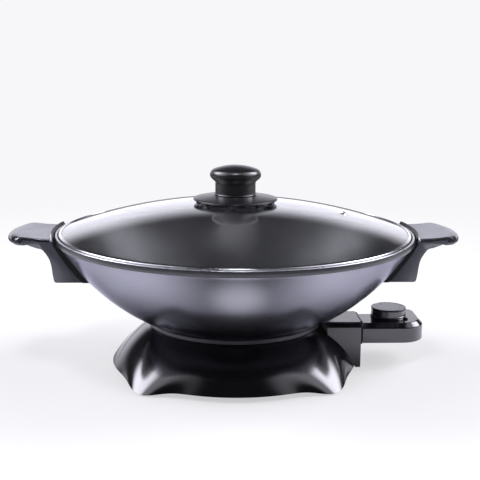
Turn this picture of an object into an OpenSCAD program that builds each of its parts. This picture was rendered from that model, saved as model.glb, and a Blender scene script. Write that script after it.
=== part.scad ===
// Electric wok: a bowl on a moulded base, a loose domed glass lid and a plug-in dial probe.
// The origin is on the table under the bowl's axis. +X runs along the handles, towards the
// probe, -Y is the front and +Z is up. Sizes are in millimetres.

/* [Bowl] */
// Outer radius of the bowl's rim band
rim_r = 178; // [165:1:190]
// Height of the rim's top above the table
rim_z = 136.2; // [130:0.1:145]
// Height of the rim band
rim_h = 6; // [4:0.1:8]
// Radius of the bowl's outer sphere
bowl_sphere_r = 203; // [195:1:230]
// Height of the flat underside of the bowl
bowl_bottom_z = 46; // [44:0.1:50]
// Wall of the bowl
bowl_wall = 3; // [2:0.1:5]
// Thickness of the bowl's flat floor
bowl_floor_t = 6; // [4:0.1:9]
// Depth of the lid's seat below the rim's top
seat_depth = 3.4; // [3:0.1:5]
// Radial room between the lid's band and the rim
lid_gap = 1.2; // [0.5:0.1:2]
// Width of the lid's seat
seat_w = 5.2; // [4:0.1:8]

/* [Lid] */
// Rise of the glass dome over the rim
dome_rise = 29.8; // [20:1:45]
// Thickness of the glass
glass_t = 3.2; // [2.5:0.1:5]
// Width of the steel band round the glass
band_w = 2.8; // [2:0.1:5]
// Sheet thickness of the steel band
band_t = 0.8; // [0.5:0.1:1.2]
// Distance of the steam vent from the lid's axis
vent_r = 107.7; // [80:1:130]
// Azimuth of the steam vent
vent_az = -2; // [-180:1:180]
// Hole through the steam vent, radius
vent_hole_r = 1.8; // [1:0.1:3]
// Outer radius of the vent's flange
vent_flange_r = 4.2; // [3.5:0.1:7]

/* [Lid knob] */
// Widest radius of the knob's cap
knob_r = 25.35; // [22:0.1:30]
// Radius of the knob's neck
knob_neck_r = 20; // [15:0.1:21]
// Length of the knob's neck
knob_neck_h = 13; // [8:0.1:20]
// Height of the knob's cap
knob_cap_h = 16.5; // [12:0.1:22]
// Radius of the knob's rounded edge
knob_edge_r = 5.8; // [4:0.1:7]
// Radius of the knob's crowned top
knob_crown_r = 62; // [45:1:90]
// Radius of the skirt under the knob
skirt_r = 41.9; // [36:0.1:50]
// Edge thickness of the skirt
skirt_edge_t = 1.6; // [1.2:0.1:3]
// Rise of the skirt from its edge to the neck
skirt_rise = 3.2; // [2:0.1:7]
// Number of spacer blocks under the skirt
block_count = 12; // [6:1:16]
// Height of the spacer blocks
block_h = 3.1; // [2:0.1:5]
// Width of a spacer block
block_w = 7; // [4:0.1:8]
// Distance of the spacer blocks from the axis
block_r = 37.2; // [32:0.1:38]
// Shank radius of the lid's screw
knob_screw_r = 2.4; // [1.5:0.1:3]

/* [Handles] */
// Distance of a handle's tip from the bowl's axis
handle_reach = 224.4; // [212:0.1:240]
// Half width of a handle
handle_half_w = 41.5; // [32:0.1:50]
// Height of the handle's top face
handle_top_z = 137.6; // [135:0.1:142]
// Height of the handle's lower end
handle_foot_z = 93.2; // [85:0.1:100]
// Thickness of the grip at its tip
grip_tip_t = 5; // [3.5:0.1:8]
// How much lower the grip's top is at its root
grip_slope = 1.7; // [0:0.1:3]
// How far the plate stands above the bowl's rim
plate_rise = 1.9; // [0.5:0.1:3]
// Thickness of the steel strip between plate and handle
strip_t = 2.2; // [1:0.1:3]
// Height of the steel strip
strip_h = 5.6; // [4:0.1:7]
// Outer face of the handle's leg, distance from the axis
leg_x = 176.4; // [172:0.1:184]
// Gap between the bowl and the handle's plate
plate_gap = 0.3; // [0.25:0.05:1]
// Thickness of the plate behind a handle
plate_t = 4.7; // [3:0.1:6]
// Spread of a handle's two screws, from the middle
handle_screw_y = 20; // [12:0.1:26]
// Height of the handle screws
handle_screw_z = 106; // [102:0.1:112]

/* [Base] */
// Radius of the base at its top edge
base_top_r = 87.2; // [84:0.1:92]
// Height of the base's top
base_top_z = 43.8; // [43:0.1:44.5]
// Radius of the base's bottom edge between the toes
base_edge_r = 123.2; // [117:0.1:130]
// How far each toe stands out
toe_reach = 13.8; // [8:0.1:18]
// Angle of a toe from the X axis
toe_az = 48; // [42:0.5:50]
// Angular half width of a toe towards the X axis
toe_width_x = 13; // [9:0.5:15]
// Angular half width of a toe towards the Y axis
toe_width_y = 8.5; // [7:0.5:12]
// Height of the arches between the toes
arch_h = 4; // [2:0.1:6]
// Clearance of the toes above the table
toe_clear = 0.8; // [0.5:0.1:1.5]
// How far out the flare's bow reaches
flare_bow = 24.4; // [18:0.1:28]
// Height of the flare's bow
flare_bow_z = 24.5; // [20:0.1:30]
// Wall of the base
base_wall = 2.8; // [2:0.1:3.4]
// Radius of the opening in the base's top
base_hole_r = 74; // [70:0.1:75]
// Outer radius of the collar ring
collar_r = 86.5; // [83:0.1:87]

/* [Socket] */
// Distance of the socket's outer face from the axis
socket_x = 126.3; // [124:0.1:132]
// Half width of the socket
socket_half_w = 25.5; // [23:0.1:30]
// Height of the socket's and the probe's flat tops
socket_top_z = 47; // [45:0.1:47.4]
// Bevel along the socket's upper edges
socket_bevel = 4.6; // [2:0.1:6]
// Wall of the socket
socket_wall = 3; // [2:0.1:4]
// Height of the pins and of the sensor rod
pin_z = 36; // [35:0.1:37]
// Spread of the two pins, from the middle
pin_y = 12; // [10:0.1:13.5]
// Radius of a pin
pin_r = 2.4; // [2:0.1:3]
// Radius of the sensor rod
rod_r = 4; // [3:0.1:5]
// Radial room round the sensor rod
rod_clear = 0.3; // [0.2:0.05:0.6]

/* [Element] */
// Radius of the heating element's ring
element_r = 62; // [50:0.1:62]
// Radius of the heating element's tube
element_tube_r = 3.3; // [3:0.1:3.6]

/* [Probe] */
// Distance of the probe's outer end from the axis
probe_end_x = 193.3; // [188:0.1:200]
// Height of the probe's flat top
probe_top_z = 45; // [44:0.1:46]
// Underside of the probe
probe_bottom_z = 25; // [24:0.1:27]
// Front side of the probe, distance from the middle plane
probe_front_y = 22; // [21:0.1:25]
// Back side of the probe's neck
neck_back_y = 21.5; // [20:0.1:24]
// Back end of the probe's body
body_back_y = 41; // [38:0.1:52]
// Where the body starts to widen towards the back
body_x = 147; // [142:0.1:150]
// Bevel along the probe's upper edge
probe_bevel = 4.4; // [2:0.1:5]
// Radius of the probe's back corners
probe_corner_r = 13; // [9:0.1:15]
// Radius of the probe's outer front corner
probe_front_r = 24; // [16:0.1:26]
// Wall of the probe's shells
probe_wall = 2.2; // [1.6:0.1:3]
// Height of the joint between the probe's two shells
probe_split_z = 37.8; // [36:0.1:39]

/* [Dial] */
// Radius of the dial
dial_r = 18; // [14:0.1:19]
// Distance of the dial from the bowl's axis
dial_x = 159.3; // [154:0.1:166]
// Sideways place of the dial
dial_y = 8.5; // [6:0.1:11]
// Height of the dial's wall
dial_h = 9.1; // [6:0.1:14]
// Height of the collar under the dial
dial_collar_h = 0.8; // [0.8:0.1:2]
// Room under the dial
dial_clear = 0.3; // [0.2:0.05:0.8]
// Radius of the dial's shaft
shaft_r = 3; // [2:0.1:4]
// Running clearance of the dial's shaft
shaft_clear = 0.06; // [0.02:0.01:0.1]

/* [Hidden] */
$fn = 96;
eps = 0.01;
big = 400;
seat_gap = 0.1;     // gap left where two fixed pieces meet on a curved face

// bowl, derived
rim_bottom_z = rim_z - rim_h;
bowl_top_out_r = rim_r - 2.4;
bowl_centre_z = rim_bottom_z + sqrt(pow(bowl_sphere_r, 2) - pow(bowl_top_out_r, 2));
bowl_in_r = bowl_sphere_r - bowl_wall;
bowl_floor_z = bowl_bottom_z + bowl_floor_t;
seat_z = rim_z - seat_depth;
lip_in_r = rim_r - 2.4;
lid_r = lip_in_r - lid_gap;
seat_in_r = lip_in_r - seat_w;
lip_round = 0.9;
function sphere_z(big_r, r) = bowl_centre_z - sqrt(pow(big_r, 2) - pow(r, 2));
function sphere_r(big_r, z) = sqrt(pow(big_r, 2) - pow(bowl_centre_z - z, 2));
bottom_out_r = sphere_r(bowl_sphere_r, bowl_bottom_z);
floor_r = sphere_r(bowl_in_r, bowl_floor_z);
// arc of the bowl's section as a list of points, from one radius to another
function bowl_arc(big_r, r0, r1, n) = [for (i = [0:n])
    let (a0 = asin(r0 / big_r), a1 = asin(r1 / big_r), a = a0 + (a1 - a0) * i / n)
    [big_r * sin(a), bowl_centre_z - big_r * cos(a)]];

// lid, derived
glass_edge_r = lid_r - band_t - 0.2;
glass_rim_z = seat_z + band_t + glass_t - 0.2;
apex_z = glass_rim_z + dome_rise;
dome_r = (pow(glass_edge_r, 2) + pow(dome_rise, 2)) / (2 * dome_rise);
dome_centre_z = apex_z - dome_r;
function glass_top(r) = dome_centre_z + sqrt(pow(dome_r, 2) - pow(r, 2));
function glass_under(r) = dome_centre_z + sqrt(pow(dome_r - glass_t, 2) - pow(r, 2));
function dome_arc(off, r0, r1, n) = [for (i = [0:n])
    let (r = r0 + (r1 - r0) * i / n)
    [r, dome_centre_z + sqrt(pow(dome_r - off, 2) - pow(r, 2))]];
screw_hole_r = knob_screw_r + 0.8;
gasket_t = 1;
gasket_r = 12;
block_len = 4;
skirt_under_z = glass_top(block_r) + block_h;
skirt_top_z = skirt_under_z + skirt_edge_t + skirt_rise;
skirt_hub_r = knob_neck_r + 2;
neck_top_z = skirt_top_z + knob_neck_h;
knob_top_z = neck_top_z + knob_cap_h;
retainer_r = 13;
retainer_t = 1.5;
screw_head_r = 4.6;
screw_head_h = 2.8;
vent_tilt = asin(vent_r / dome_r);

// handles, derived
plate_in_r = bowl_sphere_r + plate_gap;
plate_out_r = plate_in_r + plate_t;
grip_end_r = 70;
grip_corner_r = 12;
plate_half_w = handle_half_w + 0.7;
foot_corner_r = 2.4;
handle_screw_r = 2.2;
handle_head_r = 4.2;
handle_head_h = 3;
band_in_r = rim_r + 0.3;
band_out_r = rim_r + 3.3;
strip_in_r = band_out_r + 0.1;
strip_out_r = strip_in_r + strip_t;
strip_z = rim_bottom_z - 0.4;
root_r = strip_out_r + 0.1;
handle_blank_in = 40;
handle_blank_x = rim_r - handle_blank_in;
stud_cut_x = 120;
stud_r = 4;

// base, derived
base_steps = 96;
base_rows = 12;
toe_power = 1.6;
toe_spread = 1.6;
arch_width = 9;
flare_inset = 3.6;
foot_angles = [toe_az, 180 - toe_az, 180 + toe_az, 360 - toe_az];
// angle past the nearest toe, positive towards the Y axis
function fold(a) = let (b = abs(a > 180 ? a - 360 : a)) (b > 90 ? 180 - b : b) - toe_az;
function bell(a, width) = exp(-pow(a / width, 2));
function edge_z(a) = toe_clear + arch_h * (1 - bell(fold(a), arch_width));
function toe_bulge(a, t) = toe_reach * pow(t, toe_power)
    * bell(fold(a), (fold(a) > 0 ? toe_width_y : toe_width_x) * (1 + toe_spread * (1 - t)));
// outer face of the base: a is the azimuth, t runs from 0 at the top to 1 at the bottom edge
function flare_r(a, t) = pow(1 - t, 2) * base_top_r + 2 * t * (1 - t) * (base_top_r + flare_bow)
    + pow(t, 2) * base_edge_r + toe_bulge(a, t);
function flare_z(a, t) = pow(1 - t, 2) * (base_top_z - 2.3) + 2 * t * (1 - t) * flare_bow_z
    + pow(t, 2) * edge_z(a);
function flare_point(a, t, inset) = let (r = flare_r(a, t) - inset)
    [r * cos(a), r * sin(a), flare_z(a, t)];
function polar(r, a, z) = [r * cos(a), r * sin(a), z];
deck_z = base_top_z - base_wall;
plate_z = 4.8;
plate_th = 2;
pad_t = 0.5;
base_plate_r = base_edge_r - flare_inset - 5;
foot_r = 8;
foot_ring_r = base_edge_r - 6.2;
post_r = 5;
post_ring_r = foot_ring_r - foot_r - 9;
post_top_z = 27;
post_angles = foot_angles;
base_screw_r = 1.6;
base_head_r = 3.4;
base_head_h = 2;
base_screw_len = 16;
pan_screw_len = 13;
probe_screw_len = 13;
probe_screw_inset = 9;
front_screw_in_x = 15;
front_screw_in_y = 11;
collar_blank_z = base_top_z + 16.4;
pan_post_ring_r = 40;
pan_post_r = 4.5;
pan_post_angles = [60, 180, 300];
shield_z = 24;
shield_t = 0.8;
shield_r = 92;
shield_step_w = 24;
shield_step_h = 6;
shield_lip_w = 10;
shoulder_r = pan_post_r + 1.5;

// socket and element, derived
socket_in_x = base_top_r + 4.8;
cavity_half_w = socket_half_w - socket_wall;
cavity_top_z = socket_top_z - socket_wall;
cavity_bottom_z = probe_bottom_z + 2;
well_end_x = 46;
well_x = base_hole_r - 1;
well_half_w = rod_r + 3.4;
well_bottom_z = pin_z - rod_r - 1.6;
block_x = socket_in_x + socket_wall;
block_half_w = pin_y + 6;
pin_end_x = 118;
element_z = bowl_bottom_z - element_tube_r - seat_gap;
element_gap_a = asin(pin_y / element_r);
leg_bend_x = well_x - 9;

// probe, derived
flange_x = socket_x + 0.3;
flange_t = 2;
probe_x = flange_x + flange_t;
flange_bottom_z = probe_bottom_z - 1;
flange_top_z = probe_top_z + 2.5;
flange_step_z = probe_top_z - 5.5;
flange_low_w = probe_front_y - 0.3;
flange_high_w = probe_front_y + 1.2;
nose_x = 104;
nose_half_w = pin_y + 6.4;
nose_half_h = 6.4;
nose_tail = 12;
contact_r = pin_r + 0.08;
contact_out_r = contact_r + 0.9;
rod_tip_x = well_end_x + 4;
rod_end_x = probe_x + 8;
dial_seat_z = probe_top_z + dial_collar_h;
dial_bottom_z = dial_seat_z + dial_clear;
dial_top_z = dial_bottom_z + dial_h;
dial_collar_r = dial_r + 0.6;
shaft_bottom_z = probe_split_z + 0.2;
gland_x = 168;
gland_r = 5;
gland_z = probe_bottom_z + probe_wall + gland_r + 0.2;
gland_bore_r = 3.2;
gland_len = 7;
lamp_x = body_x + 12;
lamp_y = body_back_y - 10;
lamp_r = 3.2;

// bowl
module wok_pan() {
    color([0.52, 0.53, 0.58]) rotate_extrude($fn = 180) polygon(concat(
        [[0, bowl_bottom_z]],
        bowl_arc(bowl_sphere_r, bottom_out_r, bowl_top_out_r, 18),
        [[rim_r - lip_round, rim_bottom_z], [rim_r, rim_bottom_z + lip_round],
         [rim_r, rim_z - lip_round], [rim_r - lip_round, rim_z],
         [lip_in_r + 0.3, rim_z], [lip_in_r, rim_z - 0.3], [lip_in_r, seat_z],
         [seat_in_r, seat_z]],
        [for (i = [18:-1:0]) let (p = bowl_arc(bowl_in_r, floor_r, seat_in_r, 18)[i]) p],
        [[0, bowl_floor_z]]
    ));
}

module collar_ring() {
    ring_in = base_hole_r + 2.5;
    color([0.3, 0.3, 0.33]) difference() {
        rotate_extrude($fn = 180) polygon([
            [ring_in, base_top_z], [collar_r - 0.8, base_top_z],
            [collar_r, base_top_z + 0.9], [collar_r, collar_blank_z],
            [ring_in, collar_blank_z]
        ]);
        translate([0, 0, bowl_centre_z]) sphere(r = bowl_sphere_r + seat_gap, $fn = 180);
        translate([0, 0, bowl_bottom_z]) cylinder(h = big, r = bottom_out_r + 0.6, $fn = 180);
    }
}

// base
module base_skin() {
    rows = base_rows;
    ring = [for (k = [0:base_steps - 1]) let (a = 360 * k / base_steps) concat(
        [polar(base_hole_r, a, base_top_z), polar(base_top_r - 3.2, a, base_top_z),
         polar(base_top_r - 1.2, a, base_top_z - 0.6), polar(base_top_r, a, base_top_z - 1.8)],
        [for (j = [0:rows]) flare_point(a, j / rows, 0)],
        [for (j = [rows:-1:1]) flare_point(a, j / rows, flare_inset)],
        [polar(base_top_r - 3, a, deck_z), polar(base_hole_r, a, deck_z)]
    )];
    m = len(ring[0]);
    points = [for (section = ring) for (p = section) p];
    faces = [for (k = [0:base_steps - 1]) for (j = [0:m - 1])
        let (k2 = (k + 1) % base_steps, j2 = (j + 1) % m)
        for (f = [[k * m + j, k2 * m + j, k2 * m + j2], [k * m + j, k2 * m + j2, k * m + j2]]) f];
    polyhedron(points = points, faces = faces, convexity = 6);
}

// solid behind the base's outer face beside the socket, grown by a small gap
module flare_wedge(gap) {
    rows = base_rows;
    step = 360 / base_steps;
    n = 10;
    ring = [for (k = [-n:n]) let (a = k * step) concat(
        [polar(50, a, base_top_z - 0.6 + gap), polar(base_top_r + gap, a, base_top_z - 0.6 + gap)],
        [for (j = [0:rows]) let (r = flare_r(a, j / rows) + gap) polar(r, a, flare_z(a, j / rows) + gap)],
        [polar(flare_r(a, 1) + gap, a, -6), polar(50, a, -6)]
    )];
    m = len(ring[0]);
    points = [for (section = ring) for (p = section) p];
    last = 2 * n * m;
    faces = concat(
        [for (k = [0:2 * n - 1]) for (j = [0:m - 1]) let (j2 = (j + 1) % m)
            for (f = [[k * m + j, (k + 1) * m + j, (k + 1) * m + j2],
                      [k * m + j, (k + 1) * m + j2, k * m + j2]]) f],
        [[for (j = [0:m - 1]) j]],
        [[for (j = [m - 1:-1:0]) last + j]]
    );
    polyhedron(points = points, faces = faces, convexity = 6);
}

module base_shell() {
    color([0.03, 0.03, 0.035]) difference() {
        union() {
            base_skin();
            for (a = post_angles)
                rotate([0, 0, a]) translate([post_ring_r, 0, plate_z + plate_th])
                    cylinder(h = post_top_z - plate_z - plate_th, r = post_r, $fn = 32);
        }
        for (a = post_angles)
            rotate([0, 0, a]) translate([post_ring_r, 0, plate_z])
                cylinder(h = post_top_z - plate_z - 4, r = base_screw_r, $fn = 32);
        translate([base_hole_r + 4, 0.5 - socket_half_w + socket_wall, pin_z - 11])
            cube([60, 2 * (socket_half_w - socket_wall) - 1, deck_z - pin_z + 10.9]);
    }
}

module base_plate() {
    color([0.1, 0.1, 0.11]) difference() {
        union() {
            translate([0, 0, plate_z]) cylinder(h = plate_th, r = base_plate_r, $fn = 120);
            for (a = foot_angles)
                rotate([0, 0, a]) translate([foot_ring_r, 0, plate_z - pad_t])
                    cylinder(h = plate_th + 2 * pad_t, r = foot_r + 1, $fn = 48);
        }
        for (a = [20:40:340])
            for (r = [56, 66])
                rotate([0, 0, a]) translate([r, -9, plate_z - 1]) cube([4, 18, plate_th + 2]);
        for (a = post_angles)
            rotate([0, 0, a]) translate([post_ring_r, 0, plate_z - 1])
                cylinder(h = plate_th + 2, r = base_screw_r + 0.3, $fn = 32);
        for (a = pan_post_angles)
            rotate([0, 0, a]) translate([pan_post_ring_r, 0, plate_z - 1])
                cylinder(h = plate_th + 2, r = base_screw_r + 0.5, $fn = 32);
    }
}

module heat_shield() {
    step_r = shield_r - shield_step_w;
    lip_z = shield_z - shield_step_h;
    color([0.75, 0.76, 0.78]) difference() {
        rotate_extrude($fn = 120) polygon([
            [0, shield_z], [step_r, shield_z], [step_r, lip_z], [shield_r - shield_lip_w, lip_z],
            [shield_r - shield_lip_w, lip_z + shield_t], [step_r + shield_t, lip_z + shield_t],
            [step_r + shield_t, shield_z + shield_t], [0, shield_z + shield_t]
        ]);
        for (a = pan_post_angles)
            rotate([0, 0, a]) translate([pan_post_ring_r, 0, shield_z - 1])
                cylinder(h = 4, r = pan_post_r + seat_gap, $fn = 48);
    }
}

module rubber_feet() {
    color([0.06, 0.06, 0.06]) for (a = foot_angles)
        rotate([0, 0, a]) translate([foot_ring_r, 0, 0]) {
            cylinder(h = 1, r1 = foot_r - 0.8, r2 = foot_r, $fn = 48);
            translate([0, 0, 1]) cylinder(h = plate_z - pad_t - 1, r = foot_r, $fn = 48);
        }
}

module pan_head_screw(head_r, head_h, shank_r, shank_h) {
    difference() {
        union() {
            cylinder(h = head_h, r = head_r, $fn = 40);
            translate([0, 0, head_h - eps]) cylinder(h = shank_h, r = shank_r, $fn = 32);
        }
        for (turn = [0, 90])
            rotate([0, 0, turn]) translate([-head_r * 0.6, -0.5, -1])
                cube([head_r * 1.2, 1, 1.9]);
    }
}

module base_screws() {
    color([0.7, 0.7, 0.72]) for (a = post_angles)
        rotate([0, 0, a]) translate([post_ring_r, 0, plate_z - base_head_h])
            pan_head_screw(base_head_r, base_head_h, base_screw_r - 0.05, base_screw_len);
}

module pan_posts() {
    color([0.72, 0.72, 0.74]) for (a = pan_post_angles)
        rotate([0, 0, a]) translate([pan_post_ring_r, 0, plate_z + plate_th]) difference() {
            union() {
                cylinder(h = bowl_bottom_z - plate_z - plate_th, r = pan_post_r, $fn = 48);
                cylinder(h = shield_z - plate_z - plate_th, r = shoulder_r, $fn = 48);
            }
            translate([0, 0, -1]) cylinder(h = 15, r = base_screw_r + 0.05, $fn = 32);
        }
}

module pan_screws() {
    color([0.7, 0.7, 0.72]) for (a = pan_post_angles)
        rotate([0, 0, a]) translate([pan_post_ring_r, 0, plate_z - base_head_h])
            pan_head_screw(base_head_r, base_head_h, base_screw_r, pan_screw_len);
}

// heating
module heating_element() {
    color([0.35, 0.33, 0.32]) {
        rotate([0, 0, element_gap_a]) translate([0, 0, element_z])
            rotate_extrude(angle = 360 - 2 * element_gap_a, $fn = 120)
                translate([element_r, 0]) circle(r = element_tube_r, $fn = 32);
        for (s = [-1, 1]) element_leg(s * pin_y);
    }
}

// one end of the element: a short straight run, a dip and the cold pin
module element_leg(y) {
    start_x = element_r * cos(element_gap_a) - 1;
    leg_r = element_tube_r - 0.5;
    dip = atan2(element_z - pin_z, well_x - leg_bend_x);
    dip_len = sqrt(pow(element_z - pin_z, 2) + pow(well_x - leg_bend_x, 2));
    translate([start_x, y, element_z]) rotate([0, 90, 0])
        cylinder(h = leg_bend_x - start_x, r = leg_r, $fn = 32);
    translate([leg_bend_x, y, element_z]) sphere(r = element_tube_r - 0.1, $fn = 32);
    translate([leg_bend_x, y, element_z]) rotate([0, 90 + dip, 0])
        cylinder(h = dip_len, r = leg_r, $fn = 32);
    translate([well_x, y, pin_z]) sphere(r = element_tube_r - 0.1, $fn = 32);
    translate([well_x, y, pin_z]) rotate([0, 90, 0])
        cylinder(h = pin_end_x - well_x, r = pin_r, $fn = 32);
}

module sensor_well() {
    color([0.7, 0.71, 0.73]) difference() {
        translate([well_end_x, -well_half_w, well_bottom_z])
            cube([well_x - well_end_x - 2, 2 * well_half_w, bowl_bottom_z - well_bottom_z]);
        translate([well_end_x + 3, 0, pin_z]) rotate([0, 90, 0])
            cylinder(h = 60, r = rod_r + rod_clear, $fn = 48);
    }
}

module terminal_block() {
    color([0.85, 0.84, 0.8]) difference() {
        union() {
            translate([block_x - 5, -block_half_w, well_bottom_z - 1])
                cube([9, 2 * block_half_w, 13]);
            translate([block_x, -block_half_w - 2, well_bottom_z - 1.6])
                cube([2, 2 * block_half_w + 4, 14.2]);
        }
        translate([well_x, 0, pin_z]) rotate([0, 90, 0])
            cylinder(h = 60, r = rod_r + rod_clear, $fn = 48);
        for (s = [-1, 1])
            translate([well_x, s * pin_y, pin_z]) rotate([0, 90, 0])
                cylinder(h = 60, r = pin_r + 0.05, $fn = 32);
    }
}

// section of a box with bevelled upper edges, in the YZ plane
module bevelled_section(half_w, z0, z1, bevel) {
    polygon([
        [-half_w, z0], [half_w, z0], [half_w, z1 - bevel], [half_w - bevel, z1],
        [bevel - half_w, z1], [-half_w, z1 - bevel]
    ]);
}

module along_x(x, len) {
    translate([x, 0, 0]) rotate([90, 0, 90]) linear_extrude(height = len) children();
}

module socket_shroud() {
    color([0.2, 0.2, 0.23]) difference() {
        along_x(socket_in_x, socket_x - socket_in_x)
            bevelled_section(socket_half_w, toe_clear + 0.4, socket_top_z, socket_bevel);
        // the nose of the probe enters here
        translate([socket_in_x + socket_wall, -cavity_half_w, cavity_bottom_z])
            cube([60, 2 * cavity_half_w, cavity_top_z - cavity_bottom_z]);
        // passage for the pins and the sensor rod
        translate([socket_in_x - 1, -block_half_w - 0.3, well_bottom_z - 1.3])
            cube([20, 2 * block_half_w + 0.6, 13.6]);
        flare_wedge(0.15);
    }
}

// handles
module handle_side(s) {
    mirror([s < 0 ? 1 : 0, 0, 0]) children();
}

// grip and leg seen from the front, X to the right and Z up
module handle_section() {
    polygon([
        [handle_blank_x, handle_top_z - grip_slope - 0.4], [root_r, handle_top_z - grip_slope - 0.2],
        [handle_reach - 10.4, handle_top_z], [handle_reach - 5.4, handle_top_z - 0.5],
        [handle_reach - 2.2, handle_top_z - 2], [handle_reach - 0.3, handle_top_z - 4.4],
        [handle_reach, handle_top_z - 6.4], [handle_reach - 1, handle_top_z - 7.6],
        [handle_reach - 5.4, handle_top_z - 7.2], [handle_reach - 11.4, handle_top_z - grip_tip_t - 1.6],
        [leg_x + 29.1, handle_top_z - grip_tip_t - 3.7], [leg_x + 21.6, handle_top_z - grip_tip_t - 5.4],
        [leg_x + 14.6, handle_top_z - grip_tip_t - 6.3], [leg_x + 11.2, handle_top_z - grip_tip_t - 7.4],
        [leg_x + 8.6, handle_top_z - grip_tip_t - 9.2], [leg_x + 4.8, handle_top_z - grip_tip_t - 13.8],
        [leg_x + 2.2, handle_top_z - grip_tip_t - 20.2], [leg_x + 0.9, handle_top_z - grip_tip_t - 29.4],
        [leg_x - 0.4, handle_foot_z + foot_corner_r], [leg_x - 0.4 - foot_corner_r, handle_foot_z],
        [handle_blank_x, handle_foot_z]
    ]);
}

// the grip seen from above: straight sides and a bowed outer end
module handle_plan() {
    offset(r = grip_corner_r, $fn = 48) offset(delta = -grip_corner_r) intersection() {
        translate([rim_r - 60, -handle_half_w])
            square([handle_reach, 2 * handle_half_w]);
        translate([handle_reach - grip_end_r, 0]) circle(r = grip_end_r, $fn = 120);
    }
}

module handle() {
    color([0.36, 0.37, 0.42]) difference() {
        intersection() {
            rotate([90, 0, 0]) translate([0, 0, -60]) linear_extrude(height = 120)
                handle_section();
            translate([0, 0, 80]) linear_extrude(height = 80) handle_plan();
        }
        intersection() {
            translate([0, 0, bowl_centre_z]) sphere(r = plate_out_r + seat_gap, $fn = 180);
            cylinder(h = strip_z, r = big);
        }
        translate([0, 0, strip_z - 0.1]) cylinder(h = 40, r = root_r, $fn = 180);
        for (y = [-handle_screw_y, handle_screw_y])
            translate([0, y, handle_screw_z]) rotate([0, 90, 0]) {
                cylinder(h = big, r = handle_screw_r + 0.1, $fn = 32);
                translate([0, 0, leg_x - 6]) cylinder(h = 40, r = handle_head_r + 0.3, $fn = 40);
            }
    }
}

module handle_plate() {
    color([0.02, 0.02, 0.025]) difference() {
        intersection() {
            union() {
                intersection() {
                    translate([0, 0, bowl_centre_z]) sphere(r = plate_out_r, $fn = 180);
                    cylinder(h = rim_bottom_z - 0.2, r = big);
                }
                translate([0, 0, rim_bottom_z - 0.3])
                    cylinder(h = rim_h + plate_rise + 0.3, r = band_out_r, $fn = 180);
            }
            translate([100, -plate_half_w, handle_foot_z - 0.2])
                cube([120, 2 * plate_half_w, rim_z + plate_rise + 0.2 - handle_foot_z]);
        }
        translate([0, 0, bowl_centre_z]) sphere(r = plate_in_r, $fn = 180);
        translate([0, 0, rim_bottom_z - 0.3]) cylinder(h = 40, r = band_in_r, $fn = 180);
        for (y = [-handle_screw_y, handle_screw_y])
            translate([0, y, handle_screw_z]) rotate([0, 90, 0])
                cylinder(h = big, r = stud_r + 0.1, $fn = 48);
    }
}

// steel strip between the plate and the handle's root
module handle_strip() {
    color([0.85, 0.86, 0.88]) intersection() {
        rotate_extrude($fn = 180) polygon([
            [strip_in_r, strip_z], [strip_out_r, strip_z],
            [strip_out_r, strip_z + strip_h], [strip_in_r, strip_z + strip_h]
        ]);
        translate([100, -handle_half_w + 0.5, 100]) cube([120, 2 * handle_half_w - 1, 60]);
    }
}

// distance from the YZ plane to a sphere round the bowl's centre, at the handle screws
function screw_depth(big_r) =
    sqrt(pow(sphere_r(big_r, handle_screw_z), 2) - pow(handle_screw_y, 2));

module handle_studs() {
    color([0.8, 0.81, 0.83]) for (s = [-1, 1]) handle_side(s)
        for (y = [-handle_screw_y, handle_screw_y]) difference() {
            intersection() {
                translate([stud_cut_x, y, handle_screw_z]) rotate([0, 90, 0])
                    cylinder(h = 60, r = stud_r, $fn = 48);
                translate([0, 0, bowl_centre_z]) sphere(r = plate_out_r - 0.4, $fn = 180);
            }
            translate([0, 0, bowl_centre_z]) sphere(r = bowl_sphere_r + 0.02, $fn = 180);
            translate([0, y, handle_screw_z]) rotate([0, 90, 0])
                cylinder(h = big, r = handle_screw_r + 0.05, $fn = 32);
        }
}

module handle_screws() {
    color([0.72, 0.72, 0.74]) for (s = [-1, 1]) handle_side(s)
        for (y = [-handle_screw_y, handle_screw_y])
            translate([leg_x - 6 + handle_head_h, y, handle_screw_z]) rotate([0, -90, 0])
                pan_head_screw(handle_head_r, handle_head_h, handle_screw_r,
                    leg_x - 6 - screw_depth(bowl_sphere_r) - 2.4);
}

// lid
module lid_glass() {
    color([0.85, 0.88, 0.9, 0.35]) difference() {
        rotate_extrude($fn = 180) polygon(concat(
            dome_arc(0, screw_hole_r, glass_edge_r, 14),
            [for (i = [14:-1:0]) dome_arc(glass_t, screw_hole_r, glass_edge_r, 14)[i]]
        ));
        rotate([0, 0, vent_az]) translate([0, 0, dome_centre_z]) rotate([0, vent_tilt, 0])
            translate([0, 0, dome_r - 20]) cylinder(h = 40, r = vent_hole_r + 1.1, $fn = 48);
    }
}

module lid_band() {
    inner = lid_r - band_w;
    fold = 0.1;
    color([0.86, 0.87, 0.88]) rotate_extrude($fn = 180) polygon(concat(
        [[inner, seat_z], [lid_r, seat_z], [lid_r, glass_rim_z + band_t - 0.5],
         [lid_r - 0.5, glass_rim_z + band_t]],
        [for (r = [lid_r - 0.8, inner]) [r, glass_top(r) + fold + band_t]],
        [for (r = [inner, glass_edge_r + fold]) [r, glass_top(min(r, glass_edge_r)) + fold]],
        [for (r = [glass_edge_r + fold, inner]) [r, glass_under(min(r, glass_edge_r)) - fold]]
    ));
}

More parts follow.
